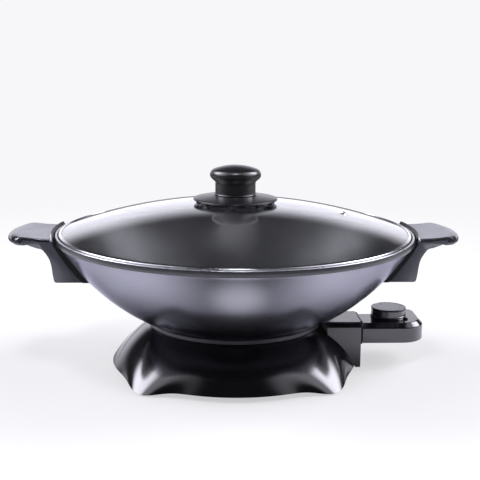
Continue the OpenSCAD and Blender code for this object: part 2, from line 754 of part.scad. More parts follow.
module steam_vent() {
    color([0.8, 0.81, 0.83]) rotate([0, 0, vent_az]) translate([0, 0, dome_centre_z])
        rotate([0, vent_tilt, 0]) translate([0, 0, dome_r]) rotate_extrude($fn = 48)
            polygon([
                [vent_hole_r, -glass_t - 1], [vent_flange_r - 1.2, -glass_t - 1],
                [vent_flange_r - 0.6, -glass_t - 0.25], [vent_hole_r + 1, -glass_t - 0.25],
                [vent_hole_r + 1, 0.15], [vent_flange_r, 0.15], [vent_flange_r - 0.5, 0.9],
                [vent_hole_r + 0.6, 1.2], [vent_hole_r, 0.8]
            ]);
}

module knob_skirt() {
    color([0.13, 0.13, 0.15]) {
        difference() {
            union() {
                rotate_extrude($fn = 120) polygon([
                    [0, skirt_under_z], [skirt_r - 0.5, skirt_under_z],
                    [skirt_r, skirt_under_z + 0.5],
                    [skirt_r - 0.2, skirt_under_z + skirt_edge_t],
                    [skirt_r - 10, skirt_under_z + skirt_edge_t + skirt_rise * 0.55],
                    [skirt_hub_r, skirt_top_z - 0.2], [skirt_hub_r - 1, skirt_top_z],
                    [0, skirt_top_z]
                ]);
                translate([0, 0, apex_z + gasket_t])
                    cylinder(h = skirt_top_z - apex_z - gasket_t - 1, r = gasket_r, $fn = 64);
                for (i = [0:block_count - 1])
                    rotate([0, 0, -90 + 7.2 + i * 360 / block_count])
                        translate([block_r - block_len / 2, -block_w / 2,
                                   glass_top(block_r - block_len) + 0.15])
                            cube([block_len, block_w, block_h]);
            }
            translate([0, 0, apex_z - 5]) cylinder(h = 40, r = knob_screw_r + 0.2, $fn = 40);
        }
    }
}

module lid_knob() {
    edge_x = knob_r - knob_edge_r;
    crown_z = knob_top_z - knob_crown_r;
    edge_z0 = crown_z + sqrt(pow(knob_crown_r - knob_edge_r, 2) - pow(edge_x, 2));
    meet_a = atan2(edge_z0 - crown_z, edge_x);
    color([0.05, 0.05, 0.06]) difference() {
        rotate_extrude($fn = 120) polygon(concat(
            [[0, skirt_top_z + 0.1], [knob_neck_r + 0.7, skirt_top_z + 0.1],
             [knob_neck_r + 0.7, skirt_top_z + 0.8], [knob_neck_r, skirt_top_z + 1.6],
             [knob_neck_r, neck_top_z]],
            [for (i = [0:8]) let (a = -33 + (meet_a + 33) * i / 8)
                [edge_x + knob_edge_r * cos(a), edge_z0 + knob_edge_r * sin(a)]],
            [for (i = [1:5]) let (a = meet_a + (90 - meet_a) * i / 5)
                [knob_crown_r * cos(a), crown_z + knob_crown_r * sin(a)]]
        ));
        translate([0, 0, skirt_top_z - 1]) cylinder(h = 14, r = knob_screw_r + 0.05, $fn = 40);
    }
}

module knob_gaskets() {
    color([0.5, 0.5, 0.5]) {
        translate([0, 0, apex_z + 0.05]) difference() {
            cylinder(h = gasket_t - 0.05, r = gasket_r, $fn = 64);
            translate([0, 0, -1]) cylinder(h = 4, r = knob_screw_r + 0.3, $fn = 40);
        }
        translate([0, 0, glass_under(retainer_r) - gasket_t - 0.05]) difference() {
            cylinder(h = gasket_t, r = gasket_r, $fn = 64);
            translate([0, 0, -1]) cylinder(h = 4, r = knob_screw_r + 0.3, $fn = 40);
        }
    }
}

retainer_z = glass_under(retainer_r) - gasket_t - 0.05 - retainer_t;

module knob_retainer() {
    color([0.8, 0.81, 0.83]) rotate_extrude($fn = 64) polygon([
        [knob_screw_r + 0.15, retainer_z], [retainer_r - 0.8, retainer_z],
        [retainer_r, retainer_z + 0.6], [retainer_r, retainer_z + retainer_t],
        [knob_screw_r + 0.15, retainer_z + retainer_t]
    ]);
}

module knob_screw() {
    color([0.8, 0.81, 0.83]) translate([0, 0, retainer_z - screw_head_h])
        pan_head_screw(screw_head_r, screw_head_h, knob_screw_r,
            skirt_top_z + 12 - retainer_z);
}

// probe
// outline of the probe seen from above; inset shrinks it
module probe_plan(inset) {
    neck_plan(inset);
    body_plan(inset);
}

module neck_plan(inset) {
    translate([probe_x, -probe_front_y + inset])
        square([body_x + probe_corner_r - probe_x, probe_front_y + neck_back_y - 2 * inset]);
}

// points of a quarter circle that starts at angle a
function corner(x, y, r, a) = [for (i = [0:16]) let (turn = a + i * 90 / 16)
    [x + r * cos(turn), y + r * sin(turn)]];

module body_plan(inset) {
    r = probe_corner_r;
    big_r = probe_front_r;
    polygon(concat(
        [[body_x + inset, -probe_front_y + inset]],
        corner(probe_end_x - big_r, big_r - probe_front_y, big_r - inset, -90),
        corner(probe_end_x - r, body_back_y - r, r - inset, 0),
        corner(body_x + r, body_back_y - r, r - inset, 90)
    ));
}

module tapered() {
    bevel_z = probe_top_z - probe_bevel;
    hull() {
        translate([0, 0, probe_split_z]) linear_extrude(height = bevel_z - probe_split_z) children(0);
        translate([0, 0, probe_top_z - eps]) linear_extrude(height = eps) children(1);
    }
}

module probe_top_shell() {
    color([0.2, 0.2, 0.23]) difference() {
        union() {
            tapered() {
                neck_plan(0);
                neck_plan(probe_bevel);
            }
            tapered() {
                body_plan(0);
                body_plan(probe_bevel);
            }
            translate([probe_x, -probe_front_y + probe_bevel, probe_split_z])
                cube([6, probe_front_y + neck_back_y - 2 * probe_bevel, probe_top_z - probe_split_z]);
        }
        // hollow inside
        translate([0, 0, probe_split_z - 1])
            linear_extrude(height = probe_top_z - probe_wall - probe_split_z + 1)
                difference() {
                    probe_plan(probe_wall + probe_bevel - 1);
                    square([2 * (probe_x + probe_wall), 200], center = true);
                    for (p = probe_screw_spots) translate(p) circle(r = 3.6, $fn = 40);
                }
        for (p = probe_screw_spots)
            translate([p[0], p[1], probe_split_z - 1]) cylinder(h = 5, r = base_screw_r + 0.05, $fn = 32);
        translate([dial_x, dial_y, probe_split_z])
            cylinder(h = 30, r = shaft_r + shaft_clear, $fn = 48);
        translate([lamp_x, lamp_y, probe_split_z]) cylinder(h = 30, r = lamp_r + 0.1, $fn = 40);
        nose_passage();
    }
}

module nose_passage() {
    translate([probe_x - 1, -nose_half_w - 0.1, pin_z - nose_half_h - 0.1])
        cube([nose_tail + 1.2, 2 * nose_half_w + 0.2, 2 * nose_half_h + 0.2]);
}

module gland_passage() {
    translate([gland_x, body_back_y - probe_wall - 2, gland_z]) rotate([-90, 0, 0])
        cylinder(h = 10, r = gland_r - 1 + 0.1, $fn = 48);
}

module probe_bottom_shell() {
    color([0.17, 0.17, 0.19]) difference() {
        translate([0, 0, probe_bottom_z])
            linear_extrude(height = probe_split_z - probe_bottom_z) probe_plan(0);
        translate([0, 0, probe_bottom_z + probe_wall]) linear_extrude(height = 30) difference() {
            probe_plan(probe_wall);
            square([2 * (probe_x + probe_wall), 200], center = true);
            for (p = probe_screw_spots) translate(p) circle(r = 3.6, $fn = 40);
        }
        for (p = probe_screw_spots)
            translate([p[0], p[1], probe_bottom_z - 1]) {
                cylinder(h = 30, r = base_screw_r + 0.1, $fn = 32);
                cylinder(h = 1 + base_head_h + 0.4, r = base_head_r * 0.85 + 0.15, $fn = 32);
            }
        nose_passage();
        gland_passage();
    }
}

probe_screw_spots = [
    [probe_end_x - front_screw_in_x, front_screw_in_y - probe_front_y],
    [probe_end_x - probe_screw_inset, body_back_y - probe_screw_inset],
    [body_x + 6, probe_screw_inset - probe_front_y]
];

module probe_screws() {
    color([0.7, 0.7, 0.72]) for (p = probe_screw_spots)
        translate([p[0], p[1], probe_bottom_z + 0.4])
            pan_head_screw(base_head_r * 0.85, base_head_h, base_screw_r, probe_screw_len);
}

module probe_flange() {
    color([0.02, 0.02, 0.025]) difference() {
        along_x(flange_x, flange_t) polygon([
            [-flange_low_w, flange_bottom_z], [flange_low_w, flange_bottom_z],
            [flange_low_w, flange_step_z], [flange_high_w, flange_step_z + 1],
            [flange_high_w, flange_top_z - probe_bevel], [flange_high_w - probe_bevel, flange_top_z],
            [probe_bevel - flange_high_w, flange_top_z], [-flange_high_w, flange_top_z - probe_bevel],
            [-flange_high_w, flange_step_z + 1], [-flange_low_w, flange_step_z]
        ]);
        translate([flange_x - 1, -nose_half_w - 0.1, pin_z - nose_half_h - 0.1])
            cube([flange_t + 2, 2 * nose_half_w + 0.2, 2 * nose_half_h + 0.2]);
    }
}

module probe_nose() {
    color([0.1, 0.1, 0.11]) difference() {
        translate([nose_x, -nose_half_w, pin_z - nose_half_h])
            cube([probe_x + nose_tail - nose_x, 2 * nose_half_w, 2 * nose_half_h]);
        translate([nose_x - 1, 0, pin_z]) rotate([0, 90, 0])
            cylinder(h = 60, r = rod_r + 0.05, $fn = 48);
        for (s = [-1, 1])
            translate([nose_x - 1, s * pin_y, pin_z]) rotate([0, 90, 0])
                cylinder(h = 60, r = contact_out_r + 0.05, $fn = 40);
    }
}

module contact_sockets() {
    color([0.78, 0.6, 0.3]) for (s = [-1, 1])
        translate([nose_x + 0.6, s * pin_y, pin_z]) rotate([0, 90, 0]) difference() {
            cylinder(h = probe_x + 16 - nose_x, r = contact_out_r, $fn = 40);
            translate([0, 0, -1]) cylinder(h = pin_end_x - nose_x + 3, r = contact_r, $fn = 40);
        }
}

module sensor_rod() {
    color([0.8, 0.81, 0.83]) {
        translate([rod_tip_x + 2, 0, pin_z]) rotate([0, 90, 0])
            cylinder(h = rod_end_x + 6 - rod_tip_x, r = rod_r, $fn = 48);
        translate([rod_tip_x, 0, pin_z]) rotate([0, 90, 0])
            cylinder(h = 2, r1 = rod_r - 1.5, r2 = rod_r, $fn = 48);
    }
}

module thermostat() {
    color([0.6, 0.45, 0.3]) difference() {
        translate([rod_end_x + 8.2, -probe_front_y + probe_wall + 3, probe_bottom_z + probe_wall])
            cube([28, 36, shaft_bottom_z - probe_bottom_z - probe_wall - 0.2]);
        for (s = [-1, 1])
            translate([nose_x, s * pin_y, pin_z]) rotate([0, 90, 0])
                cylinder(h = probe_x + 17 - nose_x, r = contact_out_r + 0.1, $fn = 40);
        for (p = probe_screw_spots)
            translate([p[0], p[1], probe_bottom_z]) cylinder(h = 20, r = 4, $fn = 40);
    }
}

module indicator_lamp() {
    color([0.9, 0.35, 0.1]) translate([lamp_x, lamp_y, probe_top_z - probe_wall - 2]) {
        cylinder(h = probe_wall + 2, r = lamp_r, $fn = 40);
        translate([0, 0, probe_wall + 2]) cylinder(h = 0.8, r1 = lamp_r, r2 = lamp_r - 1, $fn = 40);
        cylinder(h = 2, r = lamp_r + 1, $fn = 40);
    }
}

module dial_collar() {
    color([0.03, 0.03, 0.035]) translate([dial_x, dial_y, probe_top_z]) difference() {
        union() {
            cylinder(h = dial_collar_h, r = dial_collar_r, $fn = 96);
            rotate([0, 0, -38]) translate([dial_collar_r - 0.3, -1.6, 0])
                cube([4, 3.2, dial_collar_h + 1]);
        }
        translate([0, 0, -1]) cylinder(h = 10, r = shaft_r + 0.5, $fn = 48);
    }
}

module cord_gland() {
    color([0.04, 0.04, 0.04]) translate([gland_x, body_back_y, gland_z]) rotate([-90, 0, 0])
        difference() {
            union() {
                translate([0, 0, -probe_wall]) cylinder(h = probe_wall + 1, r = gland_r - 1, $fn = 48);
                cylinder(h = gland_len, r1 = gland_r, r2 = gland_r - 1.2, $fn = 48);
                translate([0, 0, -probe_wall - 1.6]) cylinder(h = 1.6, r = gland_r, $fn = 48);
            }
            translate([0, 0, -10]) cylinder(h = 40, r = gland_bore_r, $fn = 40);
        }
}

module dial_knob() {
    color([0.16, 0.16, 0.18]) translate([dial_x, dial_y, dial_bottom_z]) difference() {
        union() {
            rotate_extrude($fn = 96) polygon([
                [0, 0], [dial_r - 0.4, 0], [dial_r, 0.4], [dial_r - 0.2, dial_h - 0.8],
                [dial_r - 0.9, dial_h], [0, dial_h]
            ]);
        }
        translate([0, 0, -1]) cylinder(h = 5, r = shaft_r + 0.02, $fn = 48);
    }
}

module dial_shaft() {
    color([0.75, 0.75, 0.77]) translate([dial_x, dial_y, shaft_bottom_z])
        cylinder(h = dial_bottom_z + 4 - shaft_bottom_z, r = shaft_r, $fn = 48);
}

// what is drawn
wok_pan();
collar_ring();
base_shell();
base_plate();
heat_shield();
heating_element();
terminal_block();
sensor_well();
socket_shroud();
rubber_feet();
base_screws();
pan_posts();
pan_screws();
handle_side(-1) handle();  // left_handle
handle_side(1) handle();  // right_handle
handle_side(-1) handle_plate();  // left_handle_plate
handle_side(1) handle_plate();  // right_handle_plate
handle_side(-1) handle_strip();  // left_handle_strip
handle_side(1) handle_strip();  // right_handle_strip
handle_studs();
handle_screws();
lid_glass();
lid_band();
steam_vent();
lid_knob();
knob_skirt();
knob_gaskets();
knob_retainer();
knob_screw();
probe_top_shell();
probe_bottom_shell();
probe_flange();
probe_nose();
sensor_rod();
contact_sockets();
thermostat();
indicator_lamp();
dial_collar();
cord_gland();
probe_screws();
dial_knob();
dial_shaft();
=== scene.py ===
import bpy
import bmesh
from math import radians, degrees, sin, cos, asin, atan2, sqrt, exp, pi
from mathutils import Matrix, Vector


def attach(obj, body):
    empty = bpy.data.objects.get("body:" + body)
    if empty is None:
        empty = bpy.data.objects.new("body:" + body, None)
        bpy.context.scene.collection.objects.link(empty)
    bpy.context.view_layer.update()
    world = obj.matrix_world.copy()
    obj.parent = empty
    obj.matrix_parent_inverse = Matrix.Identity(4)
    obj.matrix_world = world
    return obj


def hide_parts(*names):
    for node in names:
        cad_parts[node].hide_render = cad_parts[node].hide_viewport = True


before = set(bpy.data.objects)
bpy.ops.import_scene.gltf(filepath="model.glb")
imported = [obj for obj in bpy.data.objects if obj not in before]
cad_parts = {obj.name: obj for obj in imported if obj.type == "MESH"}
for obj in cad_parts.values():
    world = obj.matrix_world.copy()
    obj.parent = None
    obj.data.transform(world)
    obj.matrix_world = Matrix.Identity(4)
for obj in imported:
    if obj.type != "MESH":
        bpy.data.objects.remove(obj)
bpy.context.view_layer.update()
print("frame loaded")

mm = 0.001  # pieces are modelled in millimetres and scaled once


# solved from the rim's circle, the lid's gap and the base
camera = {
    "lens": 79.04,
    "place": (-44.7, -1034.9, 337.25),
    "yaw": 2.75,  # degrees to the right of straight ahead
    "pitch": 11.48,
    "roll": 0.52,
}


def addCamera():
    data = bpy.data.cameras.new("camera")
    data.lens = camera["lens"]
    data.sensor_width = 36
    data.clip_start = 0.05
    data.clip_end = 60
    obj = bpy.data.objects.new("camera", data)
    bpy.context.scene.collection.objects.link(obj)
    yaw, pitch, roll = (radians(camera[k]) for k in ("yaw", "pitch", "roll"))
    right = Vector((cos(yaw), -sin(yaw), 0))
    up = Vector((sin(yaw) * sin(pitch), cos(yaw) * sin(pitch), cos(pitch)))
    newRight = right * cos(roll) + up * sin(roll)
    newUp = up * cos(roll) - right * sin(roll)
    back = newRight.cross(newUp)
    turn = Matrix((newRight, newUp, back)).transposed().to_4x4()
    obj.matrix_world = Matrix.Translation(Vector(camera["place"]) * mm) @ turn
    bpy.context.scene.camera = obj


addCamera()


def newMaterial(name, color, rough, metal=0.0, **sockets):
    mat = bpy.data.materials.new(name)
    mat.use_nodes = True
    bsdf = mat.node_tree.nodes["Principled BSDF"]
    bsdf.inputs["Base Color"].default_value = (*color, 1)
    bsdf.inputs["Roughness"].default_value = rough
    bsdf.inputs["Metallic"].default_value = metal
    for key, value in sockets.items():
        bsdf.inputs[key.replace("_", " ")].default_value = value
    return mat


def noiseFac(mat, scale, detail):
    nodes, links = mat.node_tree.nodes, mat.node_tree.links
    coords = nodes.new("ShaderNodeTexCoord")
    noise = nodes.new("ShaderNodeTexNoise")
    noise.inputs["Scale"].default_value = scale
    noise.inputs["Detail"].default_value = detail
    links.new(coords.outputs["Object"], noise.inputs["Vector"])
    return noise.outputs["Fac"]


def addBump(mat, scale, strength, distance=0.0002, detail=3.0):
    nodes, links = mat.node_tree.nodes, mat.node_tree.links
    bump = nodes.new("ShaderNodeBump")
    bump.inputs["Strength"].default_value = strength
    bump.inputs["Distance"].default_value = distance
    links.new(noiseFac(mat, scale, detail), bump.inputs["Height"])
    links.new(bump.outputs["Normal"], nodes["Principled BSDF"].inputs["Normal"])


def varyRoughness(mat, scale, low, high):
    nodes, links = mat.node_tree.nodes, mat.node_tree.links
    spread = nodes.new("ShaderNodeMapRange")
    spread.inputs["From Min"].default_value = 0.3
    spread.inputs["From Max"].default_value = 0.7
    spread.inputs["To Min"].default_value = low
    spread.inputs["To Max"].default_value = high
    links.new(noiseFac(mat, scale, 4.0), spread.inputs["Value"])
    links.new(spread.outputs["Result"], nodes["Principled BSDF"].inputs["Roughness"])


def varyColor(mat, scale, dark, light, detail=4.0):
    nodes, links = mat.node_tree.nodes, mat.node_tree.links
    ramp = nodes.new("ShaderNodeValToRGB")
    for stop, place, color in zip(ramp.color_ramp.elements, (0.35, 0.65), (dark, light)):
        stop.position = place
        stop.color = (*color, 1)
    links.new(noiseFac(mat, scale, detail), ramp.inputs["Fac"])
    links.new(ramp.outputs["Color"], nodes["Principled BSDF"].inputs["Base Color"])


def grained(name, dark, light, rough, grain, strength, metal=0.0, blotch=60, **sockets):
    mat = newMaterial(name, light, rough, metal, **sockets)
    varyColor(mat, blotch, dark, light)
    varyRoughness(mat, blotch * 1.7, rough - 0.02, rough + 0.02)
    addBump(mat, grain, strength)
    return mat


def smoothRange(tree, value, low, high, toLow=0.0, toHigh=1.0):
    spread = tree.nodes.new("ShaderNodeMapRange")
    spread.interpolation_type = "SMOOTHSTEP"
    spread.inputs["From Min"].default_value = low
    spread.inputs["From Max"].default_value = high
    spread.inputs["To Min"].default_value = toLow
    spread.inputs["To Max"].default_value = toHigh
    tree.links.new(value, spread.inputs["Value"])
    return spread.outputs["Result"]


# paints shade into the base colour: below low it turns to the dark colour, above high it keeps the paint
def darkenLow(mat, low, high, dark):
    nodes, links = mat.node_tree.nodes, mat.node_tree.links
    bsdf = nodes["Principled BSDF"]
    paint = bsdf.inputs["Base Color"].links[0].from_socket
    coords = nodes.new("ShaderNodeTexCoord")
    split = nodes.new("ShaderNodeSeparateXYZ")
    mix = nodes.new("ShaderNodeMix")
    mix.data_type = "RGBA"
    mix.inputs[6].default_value = (*dark, 1)
    links.new(coords.outputs["Object"], split.inputs["Vector"])
    links.new(smoothRange(mat.node_tree, split.outputs["Z"], low, high), mix.inputs[0])
    links.new(paint, mix.inputs[7])
    links.new(mix.outputs[2], bsdf.inputs["Base Color"])


bowlPaint = grained("bowlPaint", (0.405, 0.405, 0.467), (0.425, 0.425, 0.487), 0.22, 2600, 0.03,
                    metal=0.92, blotch=14, Specular_Tint=(0.5, 0.5, 0.55, 1))
# painted shade: the bowl's paint goes darker towards its bottom
darkenLow(bowlPaint, low=0.052, high=0.092, dark=(0.06, 0.06, 0.074))
nonStick = newMaterial("nonStick", (0.030, 0.030, 0.032), 0.38)
varyColor(nonStick, 1500, (0.020, 0.020, 0.022), (0.052, 0.052, 0.056), detail=2)
addBump(nonStick, 1500, 0.12)
rimMetal = grained("rimMetal", (0.030, 0.030, 0.038), (0.038, 0.038, 0.047), 0.24, 1800, 0.04, IOR=1.8)
rimTop = grained("rimTop", (0.50, 0.50, 0.53), (0.58, 0.58, 0.61), 0.28, 1800, 0.04, metal=0.9)
collarSatin = grained("collarSatin", (0.045, 0.045, 0.052), (0.058, 0.058, 0.066), 0.34, 2200, 0.06,
                      metal=0.3)
glossBlack = newMaterial("glossBlack", (0.004, 0.004, 0.005), 0.15, IOR=1.7)
varyRoughness(glossBlack, 9, 0.13, 0.17)
addBump(glossBlack, 22, 0.02, 0.0004, detail=1)
underBlack = grained("underBlack", (0.018, 0.018, 0.019), (0.030, 0.030, 0.032), 0.6, 1400, 0.2)
sheetSteel = grained("sheetSteel", (0.52, 0.52, 0.54), (0.64, 0.64, 0.66), 0.34, 900, 0.08,
                     metal=1.0, blotch=90)
burntTube = grained("burntTube", (0.09, 0.08, 0.085), (0.16, 0.13, 0.11), 0.5, 1200, 0.2, metal=0.8)
ceramic = grained("ceramic", (0.60, 0.57, 0.50), (0.70, 0.68, 0.62), 0.55, 1500, 0.15)
socketSatin = grained("socketSatin", (0.012, 0.013, 0.021), (0.017, 0.018, 0.028), 0.16, 2400, 0.03,
                      blotch=40, IOR=2.0)
softRubber = grained("softRubber", (0.014, 0.014, 0.014), (0.024, 0.024, 0.024), 0.75, 1600, 0.25)
screwSteel = grained("screwSteel", (0.50, 0.50, 0.52), (0.62, 0.62, 0.64), 0.3, 1600, 0.05,
                     metal=1.0, blotch=200)
handleSatin = grained("handleSatin", (0.058, 0.061, 0.080), (0.068, 0.071, 0.092), 0.24, 2600, 0.04,
                      blotch=35, IOR=2.0)
# painted dark reflection: the grips' rounded top edges are coloured darker than the grip
handleEdgeShade = grained("handleEdgeShade", (0.012, 0.012, 0.017), (0.016, 0.016, 0.022), 0.12, 2600, 0.02,
                     blotch=35, IOR=1.9)
plateBlack = grained("plateBlack", (0.004, 0.004, 0.005), (0.008, 0.008, 0.009), 0.40, 2000, 0.08,
                     Specular_IOR_Level=0.2)
finBlack = grained("finBlack", (0.002, 0.002, 0.003), (0.004, 0.004, 0.005), 0.30, 2000, 0.04,
                   Specular_IOR_Level=0.25)
brightSteel = grained("brightSteel", (0.80, 0.80, 0.82), (0.88, 0.88, 0.90), 0.16, 2400, 0.03,
                      metal=1.0, blotch=150)
knobBlack = grained("knobBlack", (0.003, 0.003, 0.004), (0.005, 0.005, 0.006), 0.31, 2600, 0.03,
                    blotch=45, IOR=1.8)
sealGrey = grained("sealGrey", (0.18, 0.18, 0.18), (0.24, 0.24, 0.24), 0.6, 1400, 0.2)
probeGloss = newMaterial("probeGloss", (0.008, 0.008, 0.010), 0.09, Coat_Weight=0.4, Coat_Roughness=0.04)
varyRoughness(probeGloss, 30, 0.07, 0.13)
addBump(probeGloss, 60, 0.02, 0.0002, detail=1)
probeSatin = grained("probeSatin", (0.015, 0.016, 0.025), (0.021, 0.022, 0.033), 0.18, 2400, 0.03,
                     blotch=40, IOR=2.0)
dialSatin = grained("dialSatin", (0.030, 0.030, 0.040), (0.038, 0.038, 0.050), 0.20, 2400, 0.03, IOR=2.0)
printWhite = grained("printWhite", (0.50, 0.50, 0.53), (0.60, 0.60, 0.63), 0.5, 1600, 0.05)
contactBrass = grained("contactBrass", (0.62, 0.45, 0.18), (0.75, 0.57, 0.26), 0.3, 1500, 0.06, metal=1.0)
switchBrown = grained("switchBrown", (0.16, 0.10, 0.06), (0.22, 0.14, 0.08), 0.5, 900, 0.15)
lampRed = newMaterial("lampRed", (0.55, 0.06, 0.03), 0.12, Transmission_Weight=0.5, IOR=1.49)
addBump(lampRed, 500, 0.05)
clearGlass = newMaterial("clearGlass", (0.97, 0.985, 0.99), 0.0, Transmission_Weight=1.0, IOR=1.5)
varyRoughness(clearGlass, 20, 0.0, 0.012)
print("materials made")


def finishPiece(name, bm, mats, body, nodes=(), sharp=35, pick=None, bevel=0, weld=0.0005):
    bmesh.ops.remove_doubles(bm, verts=bm.verts, dist=weld)
    bmesh.ops.recalc_face_normals(bm, faces=bm.faces)
    bmesh.ops.scale(bm, vec=(mm, mm, mm), verts=bm.verts)
    mesh = bpy.data.meshes.new(name)
    bm.to_mesh(mesh)
    bm.free()
    obj = bpy.data.objects.new(name, mesh)
    bpy.context.scene.collection.objects.link(obj)
    for mat in mats:
        mesh.materials.append(mat)
    for poly in mesh.polygons:
        poly.use_smooth = True
        if pick:
            poly.material_index = pick(poly.center / mm, poly.normal)
    if bevel:
        mod = obj.modifiers.new("edgeRounding", "BEVEL")
        mod.width = bevel * mm
        mod.segments = 3
        mod.limit_method = "ANGLE"
        mod.angle_limit = radians(sharp)
        mod.harden_normals = True
    mesh.set_sharp_from_angle(angle=radians(sharp if not bevel else 50))
    if nodes:
        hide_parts(*nodes)
    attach(obj, body)


def arc(cx, cz, r, start, end, count):
    turns = [radians(start + (end - start) * i / count) for i in range(count + 1)]
    return [(cx + r * cos(a), cz + r * sin(a)) for a in turns]


def spun(profile, steps=180, closed=False):
    bm = bmesh.new()
    verts = [bm.verts.new((r, 0, z)) for r, z in profile]
    pairs = list(zip(verts, verts[1:]))
    if closed:
        pairs.append((verts[-1], verts[0]))
    edges = [bm.edges.new(p) for p in pairs]
    bmesh.ops.spin(bm, geom=verts + edges, axis=(0, 0, 1), cent=(0, 0, 0), steps=steps,
                   angle=2 * pi, use_merge=True)
    return bm


# extrudes the faces by one step and gives the new ones back
def pull(bm, faces, step, keep=False):
    out = bmesh.ops.extrude_face_region(bm, geom=faces, use_keep_orig=keep)
    moved = [g for g in out["geom"] if isinstance(g, bmesh.types.BMVert)]
    bmesh.ops.translate(bm, vec=step, verts=moved)
    return [g for g in out["geom"] if isinstance(g, bmesh.types.BMFace)]


def softenEdges(bm, edges, offset, segments):
    bmesh.ops.bevel(bm, geom=edges, offset=offset, segments=segments, profile=0.5, affect="EDGES",
                    material=-1)


def addBlock(bm, size, place):
    block = bmesh.ops.create_cube(bm, size=1)["verts"]
    bmesh.ops.scale(bm, vec=size, verts=block)
    bmesh.ops.translate(bm, vec=place, verts=block)
    return block


def turnVerts(bm, verts, angle, axis="Z"):
    bmesh.ops.rotate(bm, cent=(0, 0, 0), matrix=Matrix.Rotation(angle, 3, axis), verts=verts)


bowl = {
    "rimR": 178, "rimZ": 136.2, "rimH": 6.0, "sphereR": 203, "sphereZ": 231.96,
    "wall": 3, "bottomZ": 46, "floorZ": 52, "lipIn": 175.6, "seatR": 170.4, "seatZ": 132.8,
}


def sphereArc(radius, centre, r0, r1, count):
    a0, a1 = asin(r0 / radius), asin(r1 / radius)
    turns = [a0 + (a1 - a0) * i / count for i in range(count + 1)]
    return [(radius * sin(a), centre - radius * cos(a)) for a in turns]


def makeBowl():
    b = bowl
    low = b["rimZ"] - b["rimH"]
    inR = b["sphereR"] - b["wall"]
    bottomR = sqrt(b["sphereR"] ** 2 - (b["sphereZ"] - b["bottomZ"]) ** 2)
    floorR = sqrt(inR ** 2 - (b["sphereZ"] - b["floorZ"]) ** 2)
    profile = [(0, b["bottomZ"]), (40, b["bottomZ"]), (bottomR - 2, b["bottomZ"])]
    profile += sphereArc(b["sphereR"], b["sphereZ"], bottomR + 0.6, b["rimR"] - 2.4, 34)
    profile += [(b["rimR"] - 2.3, low)]
    profile += arc(b["rimR"] - 0.8, low + 0.8, 0.8, -90, 0, 4)
    profile += arc(b["rimR"] - 1.0, b["rimZ"] - 1.0, 1.0, 0, 90, 5)
    profile += arc(b["lipIn"] + 0.4, b["rimZ"] - 0.4, 0.4, 90, 180, 3)
    profile += [(b["lipIn"], b["seatZ"] + 0.3), (b["lipIn"] - 0.3, b["seatZ"])]
    profile += [(b["seatR"] + 0.5, b["seatZ"])]
    profile += arc(b["seatR"] + 0.5, b["seatZ"] - 0.5, 0.5, 90, 180, 3)
    profile += sphereArc(inR, b["sphereZ"], floorR + 3, b["seatR"], 30)[::-1]
    profile += [(floorR - 1, b["floorZ"] + 0.25), (floorR - 6, b["floorZ"]), (0, b["floorZ"])]

    def pick(c, n):
        r = sqrt(c.x ** 2 + c.y ** 2)
        if c.z > b["rimZ"] - 0.5 and r > b["lipIn"]:
            return 2
        if c.z > low - 0.02 and r > b["rimR"] - 2.5:
            return 3
        inside = n.z > 0.02 and r < b["lipIn"] or (r < b["lipIn"] + 0.1 and c.z > low)
        return 1 if inside else 0

    finishPiece("bowlBody", spun(profile, 192), [bowlPaint, nonStick, rimTop, rimMetal], "base",
                ["wok_pan"], sharp=50, pick=pick)


collar = {"outR": 86.5, "inR": 76.5, "low": 43.8, "underBowlR": 203.15, "brinkR": 81.8, "brinkZ": 45.95}


def makeCollar():
    c = collar
    top = [(r, bowl["sphereZ"] - sqrt(c["underBowlR"] ** 2 - r ** 2)) for r in (86.1, 84.6, 83, 82.1)]
    profile = [(c["inR"], c["low"]), (c["outR"] - 0.6, c["low"])]
    profile += arc(c["outR"] - 0.6, c["low"] + 0.6, 0.6, -60, 0, 3)
    profile += [(c["outR"], top[0][1] - 0.35)] + top
    profile += [(c["brinkR"], c["brinkZ"]), (c["inR"], c["brinkZ"])]
    finishPiece("collarBand", spun(profile, 180, True), [collarSatin], "base", ["collar_ring"],
                sharp=40)


makeBowl()
makeCollar()
print("bowl made")


base = {
    "topR": 87.2, "topZ": 43.8, "edgeR": 123.2, "bow": 24.4, "bowZ": 24.5, "shoulder": 2.6,
    "toe": 48,  # azimuth of the first toe
    "toeReach": 13.8, "toeWidthX": 13, "toeWidthY": 8.5, "toePower": 1.6, "toeSpread": 1.6,
    "archWidth": 9, "arch": 4, "clear": 0.8, "holeR": 74.3, "wall": 3.6, "deck": 41,
    "bossAt": 100, "bossR": 5, "bossH": 19.6, "bossZ": 16.6,
    "windowX": 78, "windowHalfW": 21, "windowLow": 25,  # the opening behind the socket
}


def pastToe(angle):
    angle = abs((angle + 180) % 360 - 180)
    return (180 - angle if angle > 90 else angle) - base["toe"]  # positive towards the front or back


# a spot of the outer face: t runs from 0 at the top to 1 at the bottom edge
def flare(angle, t, inset=0.0, up=0.0):
    b = base
    gap = pastToe(angle)
    wide = (b["toeWidthY"] if gap > 0 else b["toeWidthX"]) * (1 + b["toeSpread"] * (1 - t))
    bulge = b["toeReach"] * exp(-(gap / wide) ** 2)
    edgeZ = b["clear"] + b["arch"] * (1 - exp(-(gap / b["archWidth"]) ** 2))
    r = (1 - t) ** 2 * b["topR"] + 2 * t * (1 - t) * (b["topR"] + b["bow"]) + t * t * b["edgeR"]
    z = (1 - t) ** 2 * (b["topZ"] - 2.3) + 2 * t * (1 - t) * b["bowZ"] + t * t * edgeZ
    return r + bulge * t ** b["toePower"] - inset, z + up


def inWindow(face):
    b = base
    c = face.calc_center_median()
    return c.x > b["windowX"] and abs(c.y) < b["windowHalfW"] and b["windowLow"] < c.z < b["deck"] - 0.2


